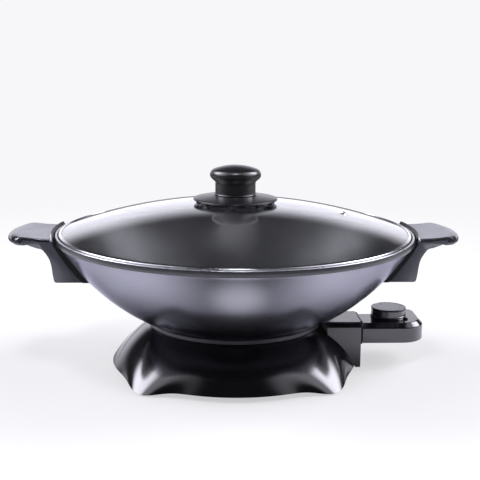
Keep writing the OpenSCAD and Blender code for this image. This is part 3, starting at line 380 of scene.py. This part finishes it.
def makeBase():
    b = base
    shoulder = b["shoulder"]
    rows = [0.5 * (1 - cos(pi * i / 30)) for i in range(1, 30)]
    spots = [lambda a: (b["holeR"], b["topZ"] - 0.3), lambda a: (b["holeR"] + 0.4, b["topZ"])]
    edge = arc(b["topR"] - shoulder, b["topZ"] - shoulder, shoulder, 90, 30, 5)
    spots += [lambda a, p=p: p for p in edge]
    spots += [lambda a, t=t: flare(a, t) for t in [0.03] + [t for t in rows if t > 0.04]]
    spots += [lambda a: flare(a, 1, 0.5), lambda a: flare(a, 1, 2.6, 0.1)]
    spots += [lambda a, t=t: flare(a, t, b["wall"]) for t in (0.97, 0.9, 0.8, 0.7, 0.55, 0.4, 0.25, 0.12)]
    spots += [lambda a: (b["topR"] - 3.4, b["deck"]), lambda a: (b["holeR"], b["deck"])]
    # a plain tube, whose rows then go to their spots
    bm = spun([(1, i) for i in range(len(spots))], 240, True)
    for v in bm.verts:
        angle = degrees(atan2(v.co.y, v.co.x))
        r, z = spots[round(v.co.z)](angle)
        v.co = (r * cos(radians(angle)), r * sin(radians(angle)), z)
    bmesh.ops.delete(bm, geom=[f for f in bm.faces if inWindow(f)], context="FACES")
    bmesh.ops.bridge_loops(bm, edges=[e for e in bm.edges if e.is_boundary])
    # screw bosses inside the toes
    for foot in (b["toe"], 180 - b["toe"], 180 + b["toe"], 360 - b["toe"]):
        boss = bmesh.ops.create_cone(bm, cap_ends=True, segments=32, radius1=b["bossR"],
                                     radius2=b["bossR"], depth=b["bossH"])["verts"]
        place = (b["bossAt"] * cos(radians(foot)), b["bossAt"] * sin(radians(foot)), b["bossZ"])
        bmesh.ops.translate(bm, vec=place, verts=boss)
    finishPiece("baseShell", bm, [glossBlack], "base", ["base_shell"], sharp=42)


makeBase()
print("base made")


socket = {
    "inX": 92, "outX": 126.3, "halfW": 25.5, "topZ": 47, "bevel": 4.6, "wall": 3,
    "mouthLow": 27, "mouthDepth": 31, "steps": 20,
}


def flareHeight(x, y):  # height of the base's face under a spot
    angle, r = degrees(atan2(y, x)), sqrt(x * x + y * y)
    low, high = 0.0, 1.0
    for _ in range(30):
        mid = (low + high) / 2
        if flare(angle, mid)[0] < r:
            low = mid
        else:
            high = mid
    return flare(angle, low)[1] if low < 0.999 else -9


def makeSocket():
    s = socket
    bm = bmesh.new()
    halfW, topZ, bevel = s["halfW"], s["topZ"], s["bevel"]
    right = [(halfW, -20), (halfW, s["mouthLow"]), (halfW, topZ - bevel),
             (halfW - bevel * 0.55, topZ - 0.6), (halfW - bevel, topZ), (halfW - bevel - 0.5, topZ)]
    section = [(-y, z) for y, z in right] + right[::-1]
    last = [bm.faces.new([bm.verts.new((s["inX"], y, z)) for y, z in section])]
    step = (s["outX"] - s["inX"]) / s["steps"]
    for i in range(s["steps"]):
        last = pull(bm, last, (step, 0, 0), keep=i == 0)
    for v in bm.verts:
        if v.co.z < -1:
            v.co.z = max(flareHeight(v.co.x, v.co.y) - 1.2, 1.2)
    # mouth for the probe's nose
    bm.normal_update()
    centres = [(f, f.calc_center_median()) for f in bm.faces]
    mouth = [f for f, c in centres if c.x > s["outX"] - 0.01 and c.z > s["mouthLow"]]
    bmesh.ops.inset_region(bm, faces=mouth, thickness=s["wall"], depth=0)
    pull(bm, mouth, (-s["mouthDepth"], 0, 0))
    bmesh.ops.delete(bm, geom=mouth, context="FACES")

    def pick(c, n):
        edge = abs(c.y) > halfW - bevel and topZ - bevel < c.z < topZ - 0.02
        return 1 if edge and abs(n.x) < 0.5 else 0

    finishPiece("socketShroud", bm, [socketSatin, probeGloss], "base", ["socket_shroud"],
                sharp=24, bevel=0.5, pick=pick)


makeSocket()
print("socket made")


grip = {
    "reach": 224.4, "halfW": 41.5, "root": 183.7, "bowR": 70, "cornerR": 12, "footZ": 93.2, "legX": 176.4,
    "topZ": 137.6, "edgeR": 3.4, "edgeH": 4.8,
    "bandZ": 129.7,  # over it the grip meets the rim's band, under it the plate on the bowl
    "plateR": 208.1,
    "rows": (41.42, 41.1, 40.6, 39.8, 38.9, 38.1, 36, 32.5, 28, 21, 14, 7),  # closer where it rounds
}


def gripReach(y):  # how far out the grip's bowed end lies
    g = grip
    y = abs(y)
    bow, corner = g["bowR"], g["cornerR"]
    side = g["halfW"] - corner
    if y < bow * sin(asin(side / (bow - corner))):
        return g["reach"] - bow + sqrt(bow ** 2 - y * y)
    centre = g["reach"] - bow + sqrt((bow - corner) ** 2 - side ** 2)
    return centre + sqrt(max(corner ** 2 - (y - g["halfW"] + corner) ** 2, 0))


def gripSection():  # from the bowl over the grip to its end, back under it and down the leg
    top, leg, reach, foot = grip["topZ"], grip["legX"], grip["reach"], grip["footZ"]
    return [
        (leg - 22, top - 2.1), (grip["root"], top - 1.9), (leg + 19.6, top - 1.3), (reach - 10.4, top),
        (reach - 6, top - 0.35), (reach - 3.2, top - 1.3), (reach - 1.2, top - 3.0),
        (reach - 0.15, top - 4.9), (reach - 0.2, top - 6.6), (reach - 1.4, top - 7.6),
        (reach - 5.4, top - 7.3), (reach - 11.4, top - 6.6), (leg + 29.1, top - 8.7),
        (leg + 21.6, top - 10.4), (leg + 14.6, top - 11.3), (leg + 11.2, top - 12.4),
        (leg + 8.6, top - 14.2), (leg + 6.4, top - 16.3),
        (leg + 4.8, top - 18.8), (leg + 3.3, top - 21.8), (leg + 2.2, top - 25.2), (leg + 1.4, top - 29.6),
        (leg + 0.9, top - 34.4), (leg + 0.2, top - 39), (leg - 0.4, foot + 2.4), (leg - 1.1, foot + 0.7),
        (leg - 2.8, foot), (leg - 22, foot),
    ]


def gripX(x, y, z):  # bends the straight section to the bowed end and to the round bowl
    g = grip
    rimX = sqrt(g["root"] ** 2 - y * y)
    if x > g["root"] + 0.01:
        share = (x - g["root"]) / (g["reach"] - g["root"])
        return g["root"] + share * (gripReach(y) - g["root"])
    if x > g["legX"] - 21:
        return rimX if z > g["bandZ"] else x
    if z < g["bandZ"]:
        return sqrt(max(g["plateR"] ** 2 - (bowl["sphereZ"] - z) ** 2 - y * y, 0))
    return rimX - 1.5


def gripDrop(x, y, z):  # rounds the top's front and back edges over
    g = grip
    past = abs(y) - (g["halfW"] - g["edgeR"])
    if past <= 0 or z <= g["topZ"] - g["edgeH"]:
        return 0
    share = 1 if x < g["reach"] - 12 else max(0, 1 - (g["topZ"] - z) / g["edgeH"])
    return share * (g["edgeR"] - sqrt(max(g["edgeR"] ** 2 - past ** 2, 0)))


def makeHandle(side):
    g = grip
    bm = bmesh.new()
    last = [bm.faces.new([bm.verts.new((x, -g["halfW"], z)) for x, z in gripSection()])]
    front = [-y for y in (g["halfW"], *g["rows"])]
    spots = front + [0] + [-y for y in front[::-1]]
    for i, (before, after) in enumerate(zip(spots, spots[1:])):
        last = pull(bm, last, (0, after - before, 0), keep=i == 0)
    for v in bm.verts:
        v.co.x = gripX(*v.co)
        v.co.z -= gripDrop(*v.co)
        v.co.x *= side

    # the rounded top edges take the darker colour, a painted dark reflection
    def pick(c, n):
        rounded = n.z < 0.93 and c.z > g["topZ"] - 7.5 and abs(c.x) > g["root"] and abs(n.y) < 0.97
        return 1 if rounded else 0

    hand = "left" if side < 0 else "right"
    finishPiece(hand + "Grip", bm, [handleSatin, handleEdgeShade], "base", [hand + "_handle"],
                sharp=40, bevel=0.6, pick=pick)


for side in (-1, 1):
    makeHandle(side)
print("handles made")


lid = {"r": 174.4, "seatZ": 132.8, "edgeR": 173.4, "edgeZ": 136.6, "rise": 29.8, "glass": 3.2, "holeR": 3.2}
lid["domeR"] = (lid["edgeR"] ** 2 + lid["rise"] ** 2) / (2 * lid["rise"])
lid["domeZ"] = lid["edgeZ"] + lid["rise"] - lid["domeR"]


def domeZ(r, off=0):
    return lid["domeZ"] + sqrt((lid["domeR"] - off) ** 2 - r * r)


def makeGlass():
    count = 40
    radii = [lid["holeR"] + (lid["edgeR"] - lid["holeR"]) * i / count for i in range(count + 1)]
    top = [(r, domeZ(r)) for r in radii]
    under = [(r, domeZ(r, lid["glass"])) for r in radii]
    finishPiece("glassDome", spun(top + under[::-1], 192, True), [clearGlass], "lid", ["lid_glass"],
                sharp=60)


def makeLidBand():
    r, low, high = lid["r"], lid["seatZ"], lid["edgeZ"] + 0.8
    inner, edge = r - 2.8, lid["edgeR"]
    profile = [(inner, low), (r - 0.5, low)] + arc(r - 0.5, low + 0.5, 0.5, -90, 0, 3)
    profile += arc(r - 0.8, high - 0.8, 0.8, 0, 90, 4)
    profile += [(inner + 0.2, domeZ(inner + 0.2) + 0.85), (inner, domeZ(inner) + 0.6)]
    profile += [(inner, domeZ(inner) + 0.1)]
    profile += [(edge + 0.1, domeZ(edge) + 0.1), (edge + 0.1, domeZ(edge, lid["glass"]) - 0.1)]
    profile += [(inner, domeZ(inner, lid["glass"]) - 0.1)]
    finishPiece("lidBand", spun(profile, 192, True), [brightSteel], "lid", ["lid_band"],
                sharp=50)


knob = {
    "top": 202.5, "crownR": 62, "wide": 25.35, "edgeR": 5.8,
    "neckR": 20, "low": 173.0, "neckTop": 184.6,
}


def makeKnob():
    k = knob
    neck, low, neckTop = k["neckR"], k["low"], k["neckTop"]
    crownZ = k["top"] - k["crownR"]
    edgeX = k["wide"] - k["edgeR"]
    edgeZ = crownZ + sqrt((k["crownR"] - k["edgeR"]) ** 2 - edgeX ** 2)
    meet = degrees(atan2(edgeZ - crownZ, edgeX))
    profile = [(2.6, low + 0.1), (neck + 0.4, low + 0.1), (neck + 0.75, low + 0.4), (neck + 0.7, low + 0.9),
               (neck + 0.25, low + 1.4), (neck + 0.05, low + 2.2), (neck, low + 4), (neck, neckTop),
               (neck + 0.15, neckTop + 1), (neck + 0.6, neckTop + 2)]
    profile += arc(edgeX, edgeZ, k["edgeR"], -36, meet, 14) + arc(0, crownZ, k["crownR"], meet, 90, 12)[1:]
    finishPiece("knobCap", spun(profile, 128), [knobBlack], "lid", ["lid_knob"], sharp=40)


skirt = {
    "r": 41.9, "under": 168.15, "seatZ": 167.5, "holeR": 2.8,
    "blocks": 12, "block": (4, 7, 3.0), "blockAt": (37.2, 0, 166.75), "firstBlock": -90 + 7.2,
}


def makeSkirt():
    s = skirt
    r, under, hole = s["r"], s["under"], s["holeR"]
    profile = [(hole, s["seatZ"]), (12, s["seatZ"]), (12.2, under), (34, under), (38, under - 0.02),
               (r - 0.5, under + 0.02)]
    profile += arc(r - 0.5, under + 0.55, 0.5, -90, 0, 3) + arc(r - 0.7, under + 1.1, 0.5, 0, 60, 3)
    profile += [(r - 4, under + 2.1), (34, under + 2.95), (28, under + 3.75), (23.4, under + 4.45),
                (22, under + 4.75), (21.4, under + 4.8), (hole, under + 4.8)]
    bm = spun(profile, 144, True)
    for i in range(s["blocks"]):
        block = addBlock(bm, s["block"], s["blockAt"])
        turnVerts(bm, block, radians(s["firstBlock"] + 360 / s["blocks"] * i))
    finishPiece("knobSkirt", bm, [knobBlack], "lid", ["knob_skirt"], sharp=32)


makeGlass()
makeLidBand()
makeKnob()
makeSkirt()
print("lid made")


probe = {
    "x": 128.6, "bodyX": 147, "endX": 193.3, "front": -22, "neckY": 21.5, "backY": 41,
    "corner": 13, "frontCorner": 24, "low": 25, "split": 37.8, "top": 45, "bevel": 4.4, "seam": 0.08,
    "satinX": 131.5, "satinWay": (7, 0, 5.6),  # plane that parts the satin corner beside the fin
}


def probeBlock(low, high):
    p = probe
    bm = bmesh.new()
    plan = [(p["x"], p["front"]), (p["endX"], p["front"]), (p["endX"], p["backY"]),
            (p["bodyX"], p["backY"]), (p["bodyX"], p["neckY"]), (p["x"], p["neckY"])]
    face = bm.faces.new([bm.verts.new((x, y, low)) for x, y in plan])
    pull(bm, [face], (0, 0, high - low), keep=True)
    bmesh.ops.recalc_face_normals(bm, faces=bm.faces)
    for x, y, radius, steps in ((p["endX"], p["front"], p["frontCorner"], 22),
                                (p["endX"], p["backY"], p["corner"], 14),
                                (p["bodyX"], p["backY"], p["corner"], 14)):
        upright = [e for e in bm.edges if abs(e.verts[0].co.z - e.verts[1].co.z) > 1]
        softenEdges(bm, [e for e in upright if (e.verts[0].co.xy - Vector((x, y))).length < 2], radius, steps)
    return bm


def rim(bm, z):
    bm.normal_update()
    return [e for e in bm.edges if all(abs(v.co.z - z) < 0.01 for v in e.verts)
            and len(e.link_faces) == 2 and e.link_faces[0].normal.dot(e.link_faces[1].normal) < 0.9]


def clearOfFin(edge):
    first, second = (v.co.x for v in edge.verts)
    return min(first, second) > probe["x"] + 0.1 or abs(first - second) > 1


def makeProbeTop():
    p = probe
    bevelZ = p["top"] - p["bevel"]
    bm = probeBlock(p["split"] + p["seam"], p["top"])
    softenEdges(bm, [e for e in rim(bm, p["top"]) if clearOfFin(e)], p["bevel"], 1)
    softenEdges(bm, [e for e in rim(bm, p["top"]) + rim(bm, bevelZ) if clearOfFin(e)], 0.7, 3)
    bmesh.ops.bisect_plane(bm, geom=list(bm.verts) + list(bm.edges) + list(bm.faces),
                           plane_co=(p["satinX"], 0, p["top"]), plane_no=p["satinWay"])

    def pick(c, n):
        along, _, up = p["satinWay"]
        besideFin = (c.x - p["satinX"]) * along + (c.z - p["top"]) * up < 0 and c.y < -15
        return 1 if c.z < bevelZ - 0.2 or besideFin else 0

    finishPiece("probeTop", bm, [probeGloss, probeSatin], "probe", ["probe_top_shell"],
                sharp=9, pick=pick)


def makeProbeBottom():
    bm = probeBlock(probe["low"], probe["split"])
    softenEdges(bm, rim(bm, probe["low"]), 1.2, 4)
    finishPiece("probeBottom", bm, [probeSatin], "probe", ["probe_bottom_shell"], sharp=14)


fin = {
    "x": 126.6, "thick": 2, "halfW": 23.2, "lowW": 21.7,
    "low": 24, "step": 39.5, "high": 47.5, "bevel": 4.4,
}


def makeFin():
    f = fin
    halfW, lowW, step, high = f["halfW"], f["lowW"], f["step"], f["high"]
    section = [(-lowW, f["low"]), (lowW, f["low"]), (lowW, step), (halfW, step + 1), (halfW, high - 4.6),
               (halfW - 3.6, high - 1.0), (halfW - 8, high - 0.7), (f["bevel"] - halfW, high),
               (-halfW, high - f["bevel"]), (-halfW, step + 1), (-lowW, step)]
    bm = bmesh.new()
    face = bm.faces.new([bm.verts.new((f["x"], y, z)) for y, z in section])
    pull(bm, [face], (f["thick"], 0, 0), keep=True)
    finishPiece("probeFin", bm, [finBlack], "probe", ["probe_flange"], sharp=30, bevel=0.8)


gland = {"place": (168, 41, 32.4), "boreR": 3.3}


def makeGland():  # a ring and grooves where the cord would leave
    bore = gland["boreR"]
    profile = [(bore, 0.05), (4.9, 0.05), (4.95, 0.8), (4.3, 1.2), (4.3, 1.9), (4.7, 2.2), (4.65, 2.9),
               (4.1, 3.3), (4.1, 4.0), (4.4, 4.3), (4.35, 5.0), (3.9, 5.4), (3.85, 6.5), (3.6, 6.9),
               (bore, 6.95)]
    bm = spun(profile, 48, True)
    turnVerts(bm, bm.verts, radians(-90), "X")
    bmesh.ops.translate(bm, vec=gland["place"], verts=bm.verts)
    finishPiece("glandSleeve", bm, [softRubber], "probe", ["cord_gland"], sharp=40)


dial = {
    "x": 159.3, "y": 8.5, "r": 18, "low": 46.1, "top": 55.2, "grooves": 2.25,
    "markR": 14.2, "numbers": 11, "first": -50, "sweep": -280, "digit": 2.2, "line": 0.26,
}
strokes = {  # the bars of each number
    "0": "abcdef", "1": "bc", "2": "abged", "3": "abgcd", "4": "fgbc",
    "5": "afgcd", "6": "afgedc", "7": "abc", "8": "abcdefg", "9": "gfabcd",
}
bars = {  # sideways, up and whether it lies flat
    "a": (0, 2, True), "b": (0.5, 1.5, False), "c": (0.5, 0.5, False), "d": (0, 0, True),
    "e": (-0.5, 0.5, False), "f": (-0.5, 1.5, False), "g": (0, 1, True),
}


def makeDial():
    d = dial
    r, low, top = d["r"], d["low"], d["top"]
    profile = [(2.6, low), (r - 0.4, low), (r - 0.05, low + 0.3), (r - 0.05, low + 1.1),
               (r - 0.35, low + 1.5), (r - 0.42, top - 2.0), (r - 0.9, top - 1.9), (r - 0.9, top - 1.5),
               (r - 0.3, top - 1.4), (r - 0.12, top - 1.1)]
    profile += arc(r - 0.72, top - 0.6, 0.6, 10, 90, 5)
    profile += [(r - 2.2, top - 0.02), (r - 2.3, top - 0.16), (0, top - 0.16)]
    bm = spun(profile, 160)
    # fine grip grooves round the wall
    for v in bm.verts:
        onWall = low + 1.4 < v.co.z < top - 1.95 and v.co.xy.length > r - 1
        if onWall and round(degrees(atan2(v.co.y, v.co.x)) / d["grooves"]) % 2:
            v.co.x *= 0.993
            v.co.y *= 0.993
    bmesh.ops.translate(bm, vec=(d["x"], d["y"], 0), verts=bm.verts)

    # the rounded edge of the top, over the groove, takes the black: painted shade for the groove's dark line
    def pick(c, n):
        return 1 if top - 1.5 < c.z < top - 0.15 and n.z < 0.85 else 0

    finishPiece("dialBody", bm, [dialSatin, finBlack], "dial", ["dial_knob"], sharp=30,
                pick=pick)


def addMark(bm, x, y, wide, long, turn):
    block = addBlock(bm, (wide, long, 0.06), (x, y, 0))
    turnVerts(bm, block, turn)
    bmesh.ops.translate(bm, vec=(dial["x"], dial["y"], dial["top"] - 0.12), verts=block)


def addNumber(bm, text, turn):
    size, line = dial["digit"] / 2, dial["line"]
    for place, digit in enumerate(text):
        shift = (place - (len(text) - 1) / 2) * size * 1.7
        for bar in strokes[digit]:
            x, y, flat = bars[bar]
            wide, long = (size, line) if flat else (line, size)
            addMark(bm, shift + x * size, dial["markR"] - 3.2 + y * size, wide, long, turn)


def makeDialMarks():
    d = dial
    bm = bmesh.new()
    for i in range(d["numbers"]):
        turn = radians(d["first"] + d["sweep"] * i / (d["numbers"] - 1))
        addMark(bm, 0, d["markR"] + 0.9, 0.28, 1.0, turn)
        addNumber(bm, str(i), turn)
    addMark(bm, 0, d["markR"] - 4.6, 0.7, 6.5, 0)  # the line that the pointer meets
    finishPiece("dialMarks", bm, [printWhite], "dial", sharp=30, weld=0.00001)


dialRing = {
    "seat": 45, "holeR": 2.6, "r": 18.6,
    "lug": (5.2, 3.2, 1.75), "lugAt": (19.6, 0, 0.9), "lugTurn": -38,  # the pointer
}


def makeDialCollar():
    d = dialRing
    seat, hole, r = d["seat"], d["holeR"], d["r"]
    profile = [(hole, seat + 0.02), (r - 0.05, seat + 0.02), (r, seat + 0.5), (r - 0.3, seat + 0.78),
               (hole, seat + 0.8)]
    bm = spun(profile, 128, True)
    lug = addBlock(bm, d["lug"], d["lugAt"])
    softenEdges(bm, [e for e in bm.edges if e.verts[0] in lug], 0.6, 4)
    lug = [v for v in bm.verts if abs(v.co.z) < 5]  # the ring lies well above it so far
    turnVerts(bm, lug, radians(d["lugTurn"]))
    bmesh.ops.translate(bm, vec=(0, 0, seat), verts=lug)
    bmesh.ops.translate(bm, vec=(dial["x"], dial["y"], 0), verts=bm.verts)
    finishPiece("dialCollar", bm, [glossBlack], "probe", ["dial_collar"], sharp=30)


makeProbeTop()
makeProbeBottom()
makeFin()
makeGland()
makeDial()
makeDialMarks()
makeDialCollar()
print("probe made")


plain = {
    "base_plate": underBlack, "heat_shield": sheetSteel, "heating_element": burntTube,
    "terminal_block": ceramic, "sensor_well": sheetSteel, "rubber_feet": softRubber,
    "base_screws": screwSteel, "pan_posts": sheetSteel, "pan_screws": screwSteel,
    "left_handle_plate": plateBlack, "right_handle_plate": plateBlack,
    "left_handle_strip": brightSteel, "right_handle_strip": brightSteel,
    "handle_studs": sheetSteel, "handle_screws": screwSteel,
    "steam_vent": brightSteel, "knob_gaskets": sealGrey, "knob_retainer": brightSteel,
    "knob_screw": screwSteel, "probe_nose": underBlack, "sensor_rod": brightSteel,
    "contact_sockets": contactBrass, "thermostat": switchBrown, "indicator_lamp": lampRed,
    "probe_screws": screwSteel, "dial_shaft": screwSteel,
}
for nodeName, mat in plain.items():
    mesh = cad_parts[nodeName].data
    mesh.materials.clear()
    mesh.materials.append(mat)


studio = {
    "floor": (0.86, 0.86, 0.83), "floorSize": 6,
    "backdrop": (0.93, 0.93, 0.945), "sky": (0.975, 0.965, 1.07), "dark": 0.03,
    # painted light and shade on the floor for the part's rays, by distance from the middle
    "glow": ((0.10, 0.22), (0.19, 0.88), (0.50, 0.88), (0.72, 0.10)),  # distance and level of the floor
    # painted shade on the floor in front of the part
    "dimAt": (0, -0.27, 0), "dimReach": (0.07, 0.21), "dimTo": 0.08,  # the floor in front is dimmer
    # a glowing spot painted on the floor, which the bowl's front shows as a painted highlight
    "paintedGlintAt": (0, -0.162, 0), "paintedGlintReach": (0.06, 0.01), "paintedGlintLevel": 0.7,  # the bowl's front reflects it
    "paintedGlintColor": (0.97, 0.97, 1), "fadeReach": (0.25, 1.1), "lift": 0.6,
}
softLights = [  # direction, inner and outer angle, strength
    ((-0.76, 0.30, 0.62), 5, 21, 9.0),
    ((0.76, 0.28, 0.62), 5, 21, 9.0),
    ((-0.76, 0.0, 0.62), 20, 38, 1.8),
    ((0.76, 0.0, 0.62), 20, 38, 1.8),
    ((0.0, 1.0, -0.60), 44, 56, 1.35),
    ((0.0, -0.36, 0.93), 2, 8, 26.0),
]


def vectorNode(tree, operation, vector):
    node = tree.nodes.new("ShaderNodeVectorMath")
    node.operation = operation
    tree.links.new(vector, node.inputs[0])
    return node


def distanceTo(tree, vector, place):
    node = vectorNode(tree, "DISTANCE", vector)
    node.inputs[1].default_value = place
    return node.outputs["Value"]


def times(tree, first, second):
    node = tree.nodes.new("ShaderNodeMath")
    node.operation = "MULTIPLY"
    tree.links.new(first, node.inputs[0])
    tree.links.new(second, node.inputs[1])
    return node.outputs["Value"]


# painted light and shade of the floor as the part sees it: dark under the part for its shadow, a lit ring
# round it and a painted dim patch in front
def floorTone(tree, coords, far):
    nodes, links = tree.nodes, tree.links
    ring = nodes.new("ShaderNodeValToRGB")
    while len(ring.color_ramp.elements) < len(studio["glow"]):
        ring.color_ramp.elements.new(0.5)
    for stop, (place, level) in zip(ring.color_ramp.elements, studio["glow"]):
        stop.position = place
        stop.color = (level, level, level, 1)
    links.new(far, ring.inputs["Fac"])
    middle = distanceTo(tree, coords, studio["dimAt"])
    dimmed = vectorNode(tree, "SCALE", ring.outputs["Color"])
    links.new(smoothRange(tree, middle, *studio["dimReach"], studio["dimTo"]), dimmed.inputs["Scale"])
    return dimmed.outputs["Vector"]


def paintFloor(mat):
    tree = mat.node_tree
    nodes, links = tree.nodes, tree.links
    bsdf = nodes["Principled BSDF"]
    coords = nodes.new("ShaderNodeTexCoord").outputs["Object"]
    toCamera = nodes.new("ShaderNodeLightPath").outputs["Is Camera Ray"]
    far = vectorNode(tree, "LENGTH", coords).outputs["Value"]
    # the part's rays see the painted floor light and shade, the camera sees the plain floor colour
    tone = nodes.new("ShaderNodeMix")  # paler to the camera than to the part
    tone.data_type = "RGBA"
    links.new(floorTone(tree, coords, far), tone.inputs[6])
    tone.inputs[7].default_value = (*studio["floor"], 1)
    links.new(toCamera, tone.inputs[0])
    links.new(tone.outputs[2], bsdf.inputs["Base Color"])
    # painted glow: the spot shines only to the part's rays, which gives a painted highlight in the bowl
    paintedGlint = smoothRange(tree, distanceTo(tree, coords, studio["paintedGlintAt"]), *studio["paintedGlintReach"],
                       toHigh=studio["paintedGlintLevel"])
    toPart = nodes.new("ShaderNodeMath")
    toPart.operation = "SUBTRACT"
    toPart.inputs[0].default_value = 1
    links.new(toCamera, toPart.inputs[1])
    links.new(times(tree, toPart.outputs["Value"], paintedGlint), bsdf.inputs["Emission Strength"])
    bsdf.inputs["Emission Color"].default_value = (*studio["paintedGlintColor"], 1)
    # to the camera the floor fades into the backdrop
    fade = smoothRange(tree, far, *studio["fadeReach"], studio["lift"])
    glow = nodes.new("ShaderNodeEmission")
    glow.inputs["Color"].default_value = (*studio["backdrop"], 1)
    mix = nodes.new("ShaderNodeMixShader")
    links.new(times(tree, fade, toCamera), mix.inputs["Fac"])
    links.new(bsdf.outputs["BSDF"], mix.inputs[1])
    links.new(glow.outputs["Emission"], mix.inputs[2])
    links.new(mix.outputs["Shader"], nodes["Material Output"].inputs["Surface"])


def addFloor():
    bm = bmesh.new()
    bmesh.ops.create_grid(bm, x_segments=2, y_segments=2, size=studio["floorSize"])
    mesh = bpy.data.meshes.new("floor")
    bm.to_mesh(mesh)
    bm.free()
    obj = bpy.data.objects.new("floor", mesh)
    bpy.context.scene.collection.objects.link(obj)
    mat = newMaterial("floorPale", studio["floor"], 0.5)
    varyRoughness(mat, 3, 0.45, 0.55)
    paintFloor(mat)
    mesh.materials.append(mat)


# adds up the soft lights, each a cone that fades out round its direction
def skyLevel(tree):
    coords = tree.nodes.new("ShaderNodeTexCoord").outputs["Generated"]
    total = None
    for way, inner, outer, strength in softLights:
        near = vectorNode(tree, "DOT_PRODUCT", coords)
        near.inputs[1].default_value = Vector(way).normalized()
        soft = smoothRange(tree, near.outputs["Value"], cos(radians(outer)), cos(radians(inner)),
                           toHigh=strength)
        join = tree.nodes.new("ShaderNodeMath")
        join.inputs[1].default_value = studio["dark"]
        tree.links.new(soft, join.inputs[0])
        if total:
            tree.links.new(total, join.inputs[1])
        total = join.outputs["Value"]
    return total


def addWorld():
    world = bpy.data.worlds.new("studio")
    bpy.context.scene.world = world
    world.use_nodes = True
    nodes, links = world.node_tree.nodes, world.node_tree.links
    nodes.clear()
    sky = nodes.new("ShaderNodeBackground")
    sky.inputs["Color"].default_value = (*studio["sky"], 1)
    links.new(skyLevel(world.node_tree), sky.inputs["Strength"])
    backdrop = nodes.new("ShaderNodeBackground")
    backdrop.inputs["Color"].default_value = (*studio["backdrop"], 1)
    path = nodes.new("ShaderNodeLightPath")
    mix = nodes.new("ShaderNodeMixShader")
    links.new(path.outputs["Is Camera Ray"], mix.inputs["Fac"])
    links.new(sky.outputs["Background"], mix.inputs[1])
    links.new(backdrop.outputs["Background"], mix.inputs[2])
    out = nodes.new("ShaderNodeOutputWorld")
    links.new(mix.outputs["Shader"], out.inputs["Surface"])


addFloor()
addWorld()
bpy.context.scene.view_settings.view_transform = "Standard"
print("studio made")
